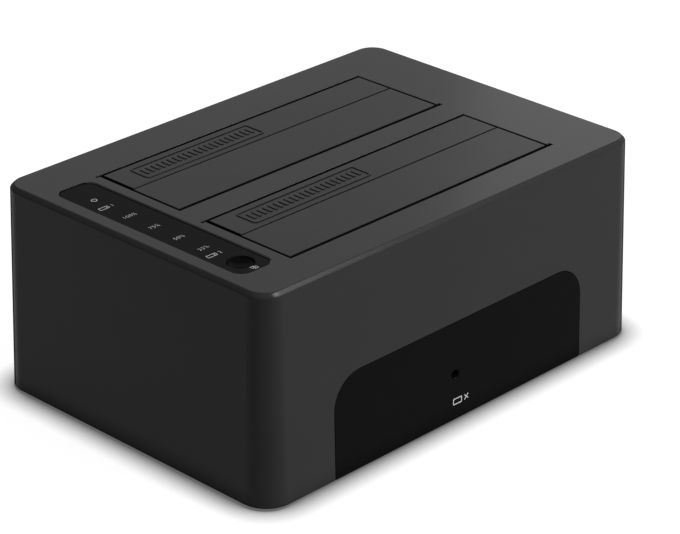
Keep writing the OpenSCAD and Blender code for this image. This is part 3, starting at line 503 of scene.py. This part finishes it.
def chip(node, wide, deep, high, pitch, sides):
    """A chip's sloping epoxy body with a moulded dimple by its first lead, and its rows of bent leads."""
    low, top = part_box(node)
    middle = (low + top) / 2 / mm
    base = low.z / mm
    slope = 0.18
    rings = [[(x * (wide / 2 - inset), y * (deep / 2 - inset), base + height) for x, y in square]
             for inset, height in ((slope, 0.12), (0, 0.5 * high), (0, 0.6 * high), (slope, high))]
    body = piece_of(node + "_body", round_edges(loft(*rings), 0.06, 1), epoxy)
    dimple = turned([(0, -0.2), (0.28, -0.12), (0.45, 0.3), (0, 0.3)], 20)
    cut(body, piece_of("dimple", moved(dimple, 0.9 - wide / 2, 0.9 - deep / 2, base + high), epoxy))
    stand = Matrix.Translation(Vector((middle.x, middle.y, 0)) * mm)
    body.data.transform(stand)
    count = int(round((wide - pitch) / pitch + 0.5 - 0.01))
    lead = bent_strip([(deep / 2 - 0.1, 0.55 * high), (deep / 2 + 0.22, 0.55 * high), (deep / 2 + 0.36, 0.3 * high),
                       (deep / 2 + 0.46, 0.09), (deep / 2 + 0.9, 0.09)], 0.3, 0.14)
    leads = row(node + "_lead_row", moved(lead, -(count - 1) * pitch / 2, 0, base), count, (pitch, 0, 0), tin)
    leads = joined(node + "_leads", [leads] * sides, [math.tau * side / sides for side in range(sides)])
    leads.data.transform(stand)
    fit(leads, "dock_body", "plated_metal")
    fit(shaded(body), "dock_body", "chip_black", node)


chip("bridge_chip", wide=10, deep=10, high=1.4, pitch=0.8, sides=4)
chip("memory_chip", wide=5, deep=4, high=1.5, pitch=1.27, sides=2)


# Other parts on the board: a quartz crystal in a drawn steel can, three electrolytic capacitors and two coils.
# The cans are pressed from sheet, and the coils are ferrite blocks glued round their windings.
low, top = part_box("crystal")
middle, half = (low + top) / 2 / mm, (top - low) / 2 / mm


def stadium(length, wide, x, y, z, steps=12):
    """Points round a flat oval with two straight sides, at a height."""
    angles = [math.pi * (step / steps - 0.5) for step in range(steps + 1)]
    ends = [(length / 2 - wide / 2 + wide / 2 * math.cos(a), wide / 2 * math.sin(a)) for a in angles]
    return [(x + side * px, y + side * py, z) for side in (1, -1) for px, py in ends]


rings = [stadium(2 * (half.x - inset), 2 * (half.y - inset), middle.x, middle.y, low.z / mm + height)
         for inset, height in ((0, 0), (0, 0.45), (0.32, 0.5), (0.35, 2.75), (0.42, 3.1), (0.75, 3.37), (1.1, 3.4))]
fit(piece_of("crystal_can", loft(*rings), tin), "dock_body", "can_metal", "crystal")

# Aluminium can sleeve: soft bright grey, with fine lines round it from drawing.
can_aluminium, tree, shader, place = material("drawn_aluminium", "#b9babd", 0.38, metal)
lines = add(tree, "ShaderNodeTexWave", {
    "Vector": place, "Scale": 1 / (0.9 * mm), "Distortion": 1.2, "Detail": 2.0}, bands_direction="Z").outputs["Fac"]
link(tree, shader, {"Roughness": between(tree, lines, 0.3, 0.46), "Normal": relief(tree, lines, 0.004)})
low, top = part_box("capacitors")
cap_r = (top.y - low.y) / 2 / mm
cap_h = (top.z - low.z) / mm
can = turned([(0, 0), (cap_r, 0), (cap_r, 0.9), (0.95 * cap_r, 1.0), (0.86 * cap_r, 1.25), (0.95 * cap_r, 1.5),
              (0.95 * cap_r, cap_h - 0.35), (0.9 * cap_r, cap_h - 0.1), (0.8 * cap_r, cap_h), (0, cap_h)], 40)
fit(set_out("capacitor_cans", can, places_in("capacitors", low.z), can_aluminium, math.tau, 7),
    "dock_body", "can_metal", "capacitors")


def merge(shape, other):
    """Adds another shape to a shape."""
    spare = bpy.data.meshes.new("spare")
    other.to_mesh(spare)
    other.free()
    shape.from_mesh(spare)


# Ferrite: dark brown-grey ceramic with a rough, gritty fracture of about 0.3 mm.
ferrite = moulded("pressed_ferrite", "#2c2a29", "#383533", 0.7, 0.3, 0.3, 0.02)
low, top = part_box("coils")
coil_w = (top.y - low.y) / mm
coil_h = (top.z - low.z) / mm
octagon = ((-1, -0.7), (-0.7, -1), (0.7, -1), (1, -0.7), (1, 0.7), (0.7, 1), (-0.7, 1), (-1, 0.7))
block = loft(*[[(x * (coil_w / 2 - inset), y * (coil_w / 2 - inset), height) for x, y in octagon]
               for inset, height in ((0, 0), (0, coil_h - 0.5), (0.12, coil_h - 0.2), (0.4, coil_h - 0.15))])
merge(block, turned([(0, coil_h - 0.8), (0.62 * coil_w / 2, coil_h - 0.8), (0.62 * coil_w / 2, coil_h - 0.1),
                     (0.56 * coil_w / 2, coil_h), (0, coil_h)], 36))
fit(set_out("ferrite_coils", block, places_in("coils", low.z), ferrite), "dock_body", "chip_black", "coils")


# Drive sockets: two upright combined sockets, each with a short data slot and a long power slot.
# They are moulded in black glass-filled nylon, soldered to the board, and reach up through the well floors.
nylon = moulded("moulded_glass_filled_nylon", "#161617", "#1f1f20", 0.5, 0.3, 0.25, 0.012)
# Contacts: phosphor bronze stampings with a gold flash, bowed towards the drive so that they press on its pads.
gold = mottled("gold_flashed_bronze", "#d9b25a", 0.24, metal, 0.5, 3.0, ("#c99c45", "#e6c574"), (0.16, 0.36))
contact_pitch, contact_w, data_contacts, power_contacts = 1.27, 0.6, 7, 15
for bay in ("rear", "front"):
    fit(piece_of(f"{bay}_drive_socket", round_edges(shape_of(f"{bay}_bay_socket"), 0.22), nylon),
        "dock_body", "socket_black", f"{bay}_bay_socket")
    low, top = (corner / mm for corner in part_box(f"{bay}_bay_contacts"))
    rows = []
    for count, first in ((data_contacts, low.x + contact_w / 2),
                         (power_contacts, top.x - contact_w / 2 - (power_contacts - 1) * contact_pitch)):
        contact = bent_strip([(top.y - 0.1, low.z), (top.y - 0.1, low.z + 2.2), (top.y - 0.3, low.z + 3.3),
                              (top.y - 0.48, low.z + 4.2), (top.y - 0.42, low.z + 4.8), (top.y - 0.18, top.z)],
                             contact_w, 0.18)
        rows.append(row(f"{bay}_contact_row_{count}", moved(contact, first, 0, 0), count,
                        (contact_pitch, 0, 0), gold))
    fit(joined(f"{bay}_drive_contacts", rows), "dock_body", "contact_gold", f"{bay}_bay_contacts")


# DC jack: a black nylon block with a round barrel that shows in the rear wall, soldered to the board's edge.
# Its centre pin is turned from nickel-plated brass, with a domed tip split by a saw cut.
nickel = mottled("nickel_plate", "#c9c7c2", 0.2, metal, 1.2, 4.0, ("#b3b1ab", "#d6d4cf"), (0.12, 0.34))
fit(piece_of("dc_jack_block", round_edges(shape_of("dc_jack"), 0.25, 3), nylon),
    "dock_body", "socket_black", "dc_jack")
low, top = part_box("dc_jack_pin")
pin_l = (top.y - low.y) / mm
pin = turned([(0, 0), (1.4, 0), (1.4, pin_l - 8), (1, pin_l - 8), (1, pin_l - 0.8), (0.9, pin_l - 0.4),
              (0.62, pin_l - 0.1), (0.3, pin_l), (0, pin_l)], 36)
slit = loft(*[[(x, y, z) for x, y in ((-2, -0.14), (2, -0.14), (2, 0.14), (-2, 0.14))]
              for z in (pin_l - 3.5, pin_l + 1)])
pin = cut(piece_of("dc_jack_centre_pin", pin, nickel), piece_of("slit", slit, nickel))
pin.data.transform(Matrix.Translation(((low.x + top.x) / 2, low.y, (low.z + top.z) / 2))
                   @ Matrix.Rotation(-math.pi / 2, 4, "X"))
fit(shaded(pin), "dock_body", "plated_metal", "dc_jack_pin")


# USB socket: a square type B socket with a folded shell of nickel-plated steel, a blue nylon tongue inside it
# and four gold-flashed contacts on the tongue. Leaf springs pressed out of the shell grip the plug.
shell = round_edges(shape_of("usb_shell"), 0.16)
low, top = (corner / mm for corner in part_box("usb_shell"))
for x, z, turn in ((-2.4, top.z - 0.5, 0), (2.4, top.z - 0.5, 0),
                   (-2.4, low.z + 0.5, math.pi), (2.4, low.z + 0.5, math.pi)):
    leaf = bent_strip([(-1.2, 0.05), (-2.2, -0.12), (-3.4, -0.5), (-4.6, -0.62), (-5.6, -0.42)], 1.5, 0.2)
    bmesh.ops.rotate(leaf, verts=leaf.verts, matrix=Matrix.Rotation(turn, 3, "Y"))
    merge(shell, moved(leaf, (low.x + top.x) / 2 + x, top.y, z))
fit(piece_of("usb_socket_shell", shell, nickel), "dock_body", "plated_metal", "usb_shell")
blue_nylon = moulded("moulded_blue_nylon", "#1c2f7a", "#24398c", 0.45, 0.4, 0.3, 0.01)
fit(piece_of("usb_socket_tongue", round_edges(shape_of("usb_tongue"), 0.2), blue_nylon),
    "dock_body", "tongue_blue", "usb_tongue")
fit(piece_of("usb_socket_contacts", round_edges(shape_of("usb_contacts"), 0.06, 1), gold),
    "dock_body", "contact_gold", "usb_contacts")


# Power switch: a rocker on two stub pins in a black nylon frame, soldered to the board behind the rear wall.
# The rocker is moulded in glossier black, and its two ends carry the usual bar and ring in white.
rocker_gloss = moulded("polished_black_nylon", "#111112", "#161617", 0.25, 0.3, 0.8, 0.002)
fit(piece_of("switch_frame", round_edges(shape_of("switch_body"), 0.25, 3), nylon),
    "dock_body", "socket_black", "switch_body")
fit(piece_of("switch_rocker_moulding", round_edges(shape_of("switch_rocker"), 0.3, 3), rocker_gloss),
    "power_key", "rocker_black", "switch_rocker")


def ring_part(inner, outer, start, stop, steps=32):
    """Outline of part of a flat ring between two angles in degrees."""
    angles = [math.radians(start + (stop - start) * step / steps) for step in range(steps + 1)]
    return ([(outer * math.cos(a), outer * math.sin(a)) for a in angles]
            + [(inner * math.cos(a), inner * math.sin(a)) for a in reversed(angles)])


def bar(x0, y0, x1, y1, width):
    """Outline of a straight stroke between two points."""
    along = (Vector((x1, y1)) - Vector((x0, y0))).normalized()
    aside = Vector((-along.y, along.x)) * width / 2
    return [(x0 - aside.x, y0 - aside.y), (x1 - aside.x, y1 - aside.y),
            (x1 + aside.x, y1 + aside.y), (x0 + aside.x, y0 + aside.y)]


def printed(name, outlines, thick, finish):
    """Flat printed strokes on the plane z = 0, as one piece: each outline is a thin film of ink."""
    shape = bmesh.new()
    for outline in outlines:
        film = loft(*[[(x, y, z) for x, y in outline] for z in (-thick, thick)])
        bmesh.ops.triangulate(film, faces=film.faces)
        merge(shape, film)
    return piece_of(name, shape, finish)


# Pad-printed white ink: a thin chalky film, slightly patchy where the pad lifted.
white_ink = mottled("pad_printed_white_ink", "#b9babb", 0.6, {"Specular IOR Level": 0.2}, 0.5, 3.0,
                    ("#9d9ea0", "#cfd0d0"), depth=0.01)
low, top = (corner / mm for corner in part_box("switch_body"))
rocker_axis = Vector(((low.x + top.x) / 2, top.y - 2.2, 15.3)) * mm
rocker_rest = Matrix.Translation(rocker_axis) @ Matrix.Rotation(math.radians(-9), 4, "Z")
half, dip, rise, ink_t = 4.7, 1.5, 2.4, 0.02
ring_all = [ring_part(0.75, 1.05, 180 * side, 180 * side + 180) for side in (0, 1)]
for name, side, outlines in (("bar", 1, [bar(0, -1.1, 0, 1.1, 0.36)]), ("ring", -1, ring_all)):
    mark = printed(f"switch_{name}_mark", outlines, ink_t, white_ink)
    along = Vector((side * half, rise - dip, 0)).normalized() * side
    facing = Vector((-along.y, along.x, 0))
    centre = Vector((side * 0.55 * half, dip + 0.55 * (rise - dip), 0))
    stand = Matrix((along, (0, 0, 1), facing)).transposed().to_4x4()
    mark.data.transform(rocker_rest @ Matrix.Translation(centre * mm) @ stand)
    fit(mark, "power_key", "pale_plastic")


# Reset switch: a small push switch that stands on the board's front edge behind the pinhole.
# Its stem is pale acetal and is pressed with a pin through the front panel.
acetal = moulded("moulded_pale_acetal", "#d4cfc0", "#dedacd", 0.4, 0.4, 0.4, 0.006)
fit(piece_of("reset_switch_block", round_edges(shape_of("erase_switch_body"), 0.2), nylon),
    "dock_body", "socket_black", "erase_switch_body")
fit(piece_of("reset_switch_plunger", round_edges(shape_of("erase_switch_stem"), 0.2), acetal),
    "erase_key", "pale_plastic", "erase_switch_stem")


# Upper housing: the one-piece black ABS shell, injection moulded, with leaning walls and a sloped top edge.
# Its skin is a fine satin spark finish; pillars and bosses inside take the screws of everything it carries.
# The grain of about 0.1 mm is drawn at 0.45 mm so that it shows. The strip's pocket has a softer right edge.
# Its slot gaps and seams get painted shade, darkened within 2.2 mm of nearby surfaces.
housing_abs = moulded("moulded_abs_housing", "#272727", "#2a2a2a", roughness=0.16, specular=0.06,
                      grain=0.45, depth=0.0008, spread=0.02, shade_reach=2.2)
shape = shape_of("upper_housing")
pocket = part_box("indicator_strip")[1]


def by_pocket(edge, reach, drop):
    """Whether an edge runs along the right side of the strip's pocket, within this reach and drop in mm."""
    return all(pocket.x - reach * mm < vert.co.x < pocket.x + reach * mm and vert.co.z > pocket.z - drop * mm
               for vert in edge.verts)


round_edges(shape, 0.7, 4, lambda edge: by_pocket(edge, 1, 0))
round_edges(shape, 0.2, 2, lambda edge: edge.calc_length() > 0.3 * mm and not by_pocket(edge, 2, 0.5))
fit(piece_of("housing_shell", shape, housing_abs), "dock_body", "housing_abs", "upper_housing")


# Bay frames: two open wells of black ABS under the slots, which guide the drives onto their sockets.
# Ears at their ends hold the hinge pins, and screws through side tabs pull them up to the housing's bosses.
frame_abs = moulded("moulded_abs_frame", "#262626", "#2b2b2b", 0.52, 0.15)
for bay in ("rear", "front"):
    fit(piece_of(f"{bay}_bay_well", round_edges(shape_of(f"{bay}_bay_frame"), 0.25), frame_abs),
        "dock_body", "frame_abs", f"{bay}_bay_frame")
tab_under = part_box("bay_frame_screws")[0].z + 1.1 * mm
fit(set_out("bay_frame_clamp_screws", pan_head_screw(shank_r=0.95, shank_l=5.8, head_r=1.8, head_t=1.1, pitch=0.55),
            places_in("bay_frame_screws", tab_under), zinc, math.tau, 11),
    "dock_body", "screw_steel", "bay_frame_screws")


# Flaps: in each slot a narrow flap hinged at the rear edge and a wide one hinged at the front edge.
# They are black ABS mouldings with a barrel along one edge; the narrow ones carry a raised, ribbed plaque.
# Their edges and gaps get painted shade, darkened within 2.2 mm of nearby surfaces.
flap_abs = moulded("moulded_abs_flap", "#272727", "#2a2a2a", roughness=0.24, specular=0.048,
                   grain=0.45, depth=0.001, spread=0.03, shade_reach=2.2)
# Hinge pins: ground steel wire with broken ends. Springs: bright music wire wound round the pin.
ground_steel = mottled("ground_steel_wire", "#a9abae", 0.25, metal, 0.3, 2.0, wear=(0.18, 0.38))
music_wire = mottled("bright_music_wire", "#8f9196", 0.3, metal, 0.15, 2.0, wear=(0.2, 0.45))
wire_r, coil_r, coil_l, coil_turns, turn_steps, broken = 0.15, 0.75, 3.6, 5, 24, 0.12


def wire(path, radius, sides=8):
    """A round wire along points."""
    points = [Vector(point) for point in path]
    rings = []
    for place, point in enumerate(points):
        along = (points[min(place + 1, len(points) - 1)] - points[max(place - 1, 0)]).normalized()
        across = along.cross(Vector((1, 0.001, 0))).normalized()
        over = along.cross(across)
        rings.append([point + radius * (across * math.cos(math.tau * side / sides)
                                        + over * math.sin(math.tau * side / sides)) for side in range(sides)])
    return loft(*rings)


for bay in ("rear", "front"):
    for kind, side in (("narrow", 1), ("wide", -1)):
        base, lid = f"{bay}_bay_{kind}", f"{bay}_bay_{kind}_lid"
        shape = shape_of(base + "_flap")
        plate_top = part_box(f"{bay}_bay_wide_flap")[1].z
        round_edges(shape, 0.1, 2, lambda edge: min(vert.co.z for vert in edge.verts) > plate_top + 0.05 * mm)
        round_edges(shape, 0.15, 2, lambda edge: max(vert.co.z for vert in edge.verts) < plate_top + 0.05 * mm)
        fit(piece_of(base + "_lid_moulding", shape, flap_abs), lid, "flap_abs", base + "_flap")
        low, top = (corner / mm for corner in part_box(base + "_pin"))
        axis = (low + top) / 2
        pin_r, pin_l = (top.z - low.z) / 2, top.x - low.x
        pin = turned([(0, 0), (pin_r - broken, 0), (pin_r, broken), (pin_r, pin_l - broken),
                      (pin_r - broken, pin_l), (0, pin_l)], 24)
        pin.transform(Matrix.Translation(Vector((low.x, axis.y, axis.z)) * mm)
                      @ Matrix.Rotation(math.pi / 2, 4, "Y"))
        fit(piece_of(base + "_hinge_wire", pin, ground_steel), "dock_body", "pin_steel", base + "_pin")
        low, top = (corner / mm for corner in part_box(base + "_spring"))
        first = low.x + wire_r if side > 0 else top.x - wire_r
        path = [(0, -2.48, -coil_r), (0, -1.5, -coil_r), (0, -0.5, -coil_r)]
        for step in range(turn_steps * coil_turns + 1):
            angle = math.tau * step / turn_steps - math.pi / 2
            path.append((coil_l * step / (turn_steps * coil_turns),
                         coil_r * math.cos(angle), coil_r * math.sin(angle)))
        path += [(coil_l, 0.5, -coil_r + 0.03), (coil_l, 2.5, -0.47), (coil_l, 5, -0.2)]
        coil = wire([(first + side * x, axis.y - side * y, axis.z + z) for x, y, z in path], wire_r)
        spring = piece_of(base + "_coil", coil, music_wire)
        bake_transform(spring)
        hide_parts(base + "_spring")


# Indicator board: a narrow green laminate hung from two bosses under the strip, with seven lamps on it.
# A white shield keeps the lamps' light apart, and the copy button's push switch is soldered at its front end.
fit(piece_of("indicator_board_laminate", round_edges(shape_of("indicator_board"), 0.08, 1), green_mask),
    "dock_body", "circuit_board", "indicator_board")
fit(set_out("indicator_board_clamp_screws",
            pan_head_screw(shank_r=0.95, shank_l=5.2, head_r=1.8, head_t=1.1, pitch=0.55),
            places_in("indicator_board_screws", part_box("indicator_board")[0].z), zinc, math.tau, 13),
    "dock_body", "screw_steel", "indicator_board_screws")
# Clear epoxy over a white cup: a milky, wet-looking lens.
lamp_epoxy = mottled("cast_milky_epoxy", "#dfe3e2", 0.12, {
    "IOR": 1.53, "Subsurface Weight": 0.3, "Subsurface Radius": (0.4 * mm, 0.4 * mm, 0.3 * mm)},
    0.6, 2.0, ("#d3d8d6", "#eceeea"))
low, middle, top = solids_in("indicator_lamps")[0]
lamp_w, lamp_d, lamp_h = (top - low) / mm
lamp = loft(*[[(x * (lamp_w / 2 - inset), y * (lamp_d / 2 - inset), height * lamp_h) for x, y in square]
              for inset, height in ((0, 0), (0, 0.42), (0.18, 0.46), (0.2, 0.82), (0.34, 1))])
fit(set_out("indicator_lamp_row", round_edges(lamp, 0.05, 2), places_in("indicator_lamps", low.z), lamp_epoxy),
    "dock_body", "lamp_clear", "indicator_lamps")
white_abs = moulded("moulded_white_abs", "#d9d9d3", "#e2e2dd", 0.45, 0.4, 0.4, 0.008)
fit(piece_of("indicator_light_shield", round_edges(shape_of("light_shield"), 0.2), white_abs),
    "dock_body", "pale_plastic", "light_shield")
fit(piece_of("copy_switch_block", round_edges(shape_of("copy_switch_body"), 0.2), nylon),
    "dock_body", "socket_black", "copy_switch_body")
fit(piece_of("copy_switch_plunger", round_edges(shape_of("copy_switch_stem"), 0.15), acetal),
    "copy_key", "pale_plastic", "copy_switch_stem")


# Ribbon: a flat cable of ten wires in grey vinyl between the two boards, with its first wire marked in red.
# It drops from the indicator board, turns through a quarter circle and plugs into the main board.
vinyl, tree, shader, place = material("extruded_grey_vinyl", "#85878a", 0.5, {"Specular IOR Level": 0.4})
low, top = (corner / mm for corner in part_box("link_ribbon"))
wires, ribbon_t, bend_r = 10, 0.9, 4
wire_pitch = (top.y - low.y) / wires
across = add(tree, "ShaderNodeSeparateXYZ", {"Vector": place})
first_wire = calc(tree, "LESS_THAN", across.outputs["Y"], (low.y + 0.95 * wire_pitch) * mm)
grey = mix(tree, noise(tree, place, 1.5, 3.0), "#7b7d80", "#8f9194")
link(tree, shader, {"Base Color": mix(tree, first_wire, grey, "#a3322c")})
drop_x, run_z = low.x + ribbon_t / 2, low.z + ribbon_t / 2
line = [(drop_x, top.z), (drop_x, run_z + bend_r + 12)]
for angle in range(0, 91, 6):
    line.append((drop_x + bend_r - bend_r * math.cos(math.radians(angle)),
                 run_z + bend_r - bend_r * math.sin(math.radians(angle))))
line += [(top.x, run_z)]
samples = [low.y + wire_pitch * (step + 0.5) / 6 for step in range(6 * wires)]


def half_thick(y):
    """Half the ribbon's thickness at this place across it: round over each wire, thin between them."""
    off = 2 * ((y - low.y) / wire_pitch % 1) - 1
    return 0.2 + (ribbon_t / 2 - 0.2) * math.sqrt(1 - off * off)


rings = []
for place, (x, z) in enumerate(line):
    ahead, behind = Vector(line[min(place + 1, len(line) - 1)]), Vector(line[max(place - 1, 0)])
    along = (ahead - behind).normalized()
    aside = Vector((-along.y, along.x))
    rings.append([(x + side * half_thick(y) * aside.x, y, z + side * half_thick(y) * aside.y)
                  for side, ys in ((1, samples), (-1, samples[::-1])) for y in ys])
fit(piece_of("link_ribbon_cable", loft(*rings), vinyl), "dock_body", "ribbon_grey", "link_ribbon")
white_nylon = moulded("moulded_white_nylon", "#d6d2c4", "#dfdbcf", 0.45, 0.4, 0.4, 0.008)
fit(piece_of("link_ribbon_headers", round_edges(shape_of("link_headers"), 0.25, 3), white_nylon),
    "dock_body", "pale_plastic", "link_headers")


# Indicator strip: a thin black acrylic plate let into the top, with its marks printed in pale ink.
# The lamps shine through it, and the round copy button comes up through a hole at its front end.
strip_acrylic = moulded("satin_black_acrylic", "#121212", "#141414", 0.35, 0.007, 0.6, 0.001)
fit(piece_of("indicator_strip_plate", round_edges(shape_of("indicator_strip"), 0.15), strip_acrylic),
    "dock_body", "gloss_black", "indicator_strip")
button_gloss = moulded("polished_black_abs", "#060606", "#080808", 0.16, 0.004, 1.0, 0.0005)
fit(piece_of("copy_button_moulding", round_edges(shape_of("copy_button"), 0.18, 3), button_gloss),
    "copy_key", "gloss_black", "copy_button")
strip_low, strip_top = (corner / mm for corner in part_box("indicator_strip"))
strip_x = (strip_low.x + strip_top.x) / 2
lamp_ys = [middle.y / mm for low, middle, high in solids_in("indicator_lamps")]


def figures(text, size):
    """Printed figures as a flat mesh on the plane z = 0, centred, with this height of type."""
    type_line = bpy.data.curves.new("figures", "FONT")
    type_line.body, type_line.size, type_line.extrude = text, size * mm, 0.02 * mm
    type_line.align_x, type_line.align_y = "CENTER", "CENTER"
    type_line.space_character, type_line.offset = 1.15, -0.03 * mm
    setting = bpy.data.objects.new("figures", type_line)
    scene.collection.objects.link(setting)
    graph = bpy.context.evaluated_depsgraph_get()
    mesh = bpy.data.meshes.new_from_object(setting.evaluated_get(graph), depsgraph=graph)
    bpy.data.objects.remove(setting)
    return mesh


def placed(outline, x, y):
    """An outline moved on its plane."""
    return [(px + x, py + y) for px, py in outline]


def box_line(wide, high, stroke):
    """Outlines of a rectangle's four strokes, centred."""
    x, y = wide / 2, high / 2
    return [bar(-x, -y, x, -y, stroke), bar(-x, y, x, y, stroke),
            bar(-x, -y, -x, y, stroke), bar(x, -y, x, y, stroke)]


# Screen-printed grey ink, a shade darker than paper and a little patchy.
strip_ink = mottled("screen_printed_grey_ink", "#9a9a9a", 0.6, {"Specular IOR Level": 0.15}, 0.4, 3.0,
                    ("#808080", "#b0b0b0"))
marks = bmesh.new()
for text, y in zip(("2", "25%", "50%", "75%", "100%", "1"), lamp_ys):
    mesh = figures(text, 2.0)
    x = strip_x + (0.4 if len(text) == 1 else -1.0)
    mesh.transform(Matrix.Translation(Vector((x, y, strip_top.z)) * mm))
    marks.from_mesh(mesh)
strokes = []
for y in (lamp_ys[0], lamp_ys[5]):
    strokes += [placed(line, strip_x - 2.6, y) for line in box_line(3.2, 1.3, 0.2)]
    strokes.append(placed(ring_part(0, 0.24, 0, 360, 16), strip_x - 1.6, y))
strokes += [placed(outline, strip_x - 1.0, lamp_ys[6]) for outline in
            (ring_part(0.68, 0.92, -240, 60), bar(0, 0.15, 0, 1.05, 0.22))]
copy_mark = (strip_x + 0.3, strip_low.y + 1.75)
for dx, dy in ((-0.35, 0.2), (0.35, -0.2)):
    strokes += [placed(line, copy_mark[0] + dx, copy_mark[1] + dy) for line in box_line(1.1, 1.0, 0.16)]
film = printed("stroke_film", strokes, ink_t, strip_ink)
film.data.transform(Matrix.Translation((0, 0, strip_top.z * mm)))
marks.from_mesh(film.data)
bpy.data.objects.remove(film)
fit(piece_of("strip_printed_marks", marks, strip_ink), "dock_body", "pale_plastic")


# Front panel: a black acrylic panel that fills an opening in the front wall, held by a flange behind it.
# It is polished to a gloss, and a chamfered pinhole leads to the reset switch, with a small mark under it.
panel_acrylic = mottled("polished_black_acrylic", "#0a0a0a", 0.14, {"Specular IOR Level": 0.015}, 6, 5.0,
                        ("#090909", "#0c0c0c"), (0.08, 0.22))
fit(piece_of("front_gloss_panel", round_edges(shape_of("front_panel"), 0.12), panel_acrylic),
    "dock_body", "gloss_black", "front_panel")
front_y, rim_z, draft = cad_box[0].y, 0.8 * mm, math.radians(1.55)
on_front = (Matrix.Translation((0, front_y, rim_z)) @ Matrix.Rotation(-draft, 4, "X")
            @ Matrix.Rotation(math.pi / 2, 4, "X"))
mark_y, reach = 5.6, 0.75
strokes = [placed(line, -1.5, mark_y) for line in box_line(3.4, 1.7, 0.3)]
strokes += [placed(bar(-reach, -tilt * reach, reach, tilt * reach, 0.32), 2.2, mark_y) for tilt in (1, -1)]
mark = printed("panel_printed_mark", strokes, ink_t, white_ink)
mark.data.transform(on_front)
fit(mark, "dock_body", "pale_plastic")


# Studio: the dock stands on a white table in a dim room, in front of nothing but white.
# Softboxes light its front from the right, its top front edge from above, and its top by reflection from behind.
# Only camera, glossy and transmission rays see the full white; the rest of the light stays at a plain level.
def seen_directly(tree):
    """1 for camera, glossy and transmission rays, and 0 for the others."""
    path = add(tree, "ShaderNodeLightPath").outputs
    either = calc(tree, "MAXIMUM", path["Is Camera Ray"], path["Is Glossy Ray"])
    return calc(tree, "MAXIMUM", either, path["Is Transmission Ray"])


studio = bpy.data.worlds.new("dim_studio")
studio.use_nodes = True
scene.world = studio
sky = studio.node_tree.nodes["Background"]
sky.inputs["Color"].default_value = srgb("#ffffff")
sky.inputs["Strength"].default_value = 0.27

table = bpy.data.meshes.new("white_table")
table.from_pydata([(3 * x, 3 * y, 0) for x, y in square], [], [(0, 1, 2, 3)])
white_table = bpy.data.materials.new("white_laminate_table")
white_table.use_nodes = True
tree = white_table.node_tree
tree.nodes.clear()
dim = add(tree, "ShaderNodeBsdfDiffuse", {"Color": srgb("#9a9a9a")})
pale = add(tree, "ShaderNodeBsdfDiffuse", {"Color": srgb("#505050")})
# Painted contact shadow: ambient occlusion dims the table's glow within 9 mm of the dock, where it meets it.
under = add(tree, "ShaderNodeAmbientOcclusion", {"Distance": 9 * mm}).outputs["AO"]
glow = add(tree, "ShaderNodeEmission", {
    "Color": srgb("#ffffff"), "Strength": between(tree, under, 0.12, 0.97, 0.5, 1.0)})
bright = add(tree, "ShaderNodeAddShader", {0: pale.outputs[0], 1: glow.outputs[0]})
surface = add(tree, "ShaderNodeMixShader", {0: seen_directly(tree), 1: dim.outputs[0], 2: bright.outputs[0]})
add(tree, "ShaderNodeOutputMaterial", {"Surface": surface.outputs[0]})
table.materials.append(white_table)
table_top = bpy.data.objects.new("white_table", table)
scene.collection.objects.link(table_top)


def softbox(name, place, wide, high, power, upright=(0, 0, 1)):
    """A rectangular lamp at this place in metres, facing the dock, its height along this direction."""
    lamp = bpy.data.lights.new(name, "AREA")
    lamp.shape, lamp.size, lamp.size_y, lamp.energy = "RECTANGLE", wide, high, power
    made = bpy.data.objects.new(name, lamp)
    away = (Vector(place) - Vector((0, 0, 0.04))).normalized()
    across = Vector(upright).cross(away).normalized()
    turned_to = Matrix((across, away.cross(across), away)).transposed().to_4x4()
    made.matrix_world = Matrix.Translation(place) @ turned_to
    scene.collection.objects.link(made)


softbox("front_softbox", (0.42, -1.3, 0.7), 0.35, 0.6, 5)
softbox("corner_softbox", (0.44, -0.93, 1.42), 0.6, 0.5, 26)
softbox("edge_softbox", (0.9, -0.69, 1.31), 0.36, 0.9, 13, (0, 0.875, 0.484))
softbox("back_softbox", (0.92, 0.74, 0.53), 0.9, 0.5, 0.78)
softbox("side_softbox", (1.07, 0.56, 0.53), 0.5, 0.5, 0.66)
scene.view_settings.view_transform = "Standard"
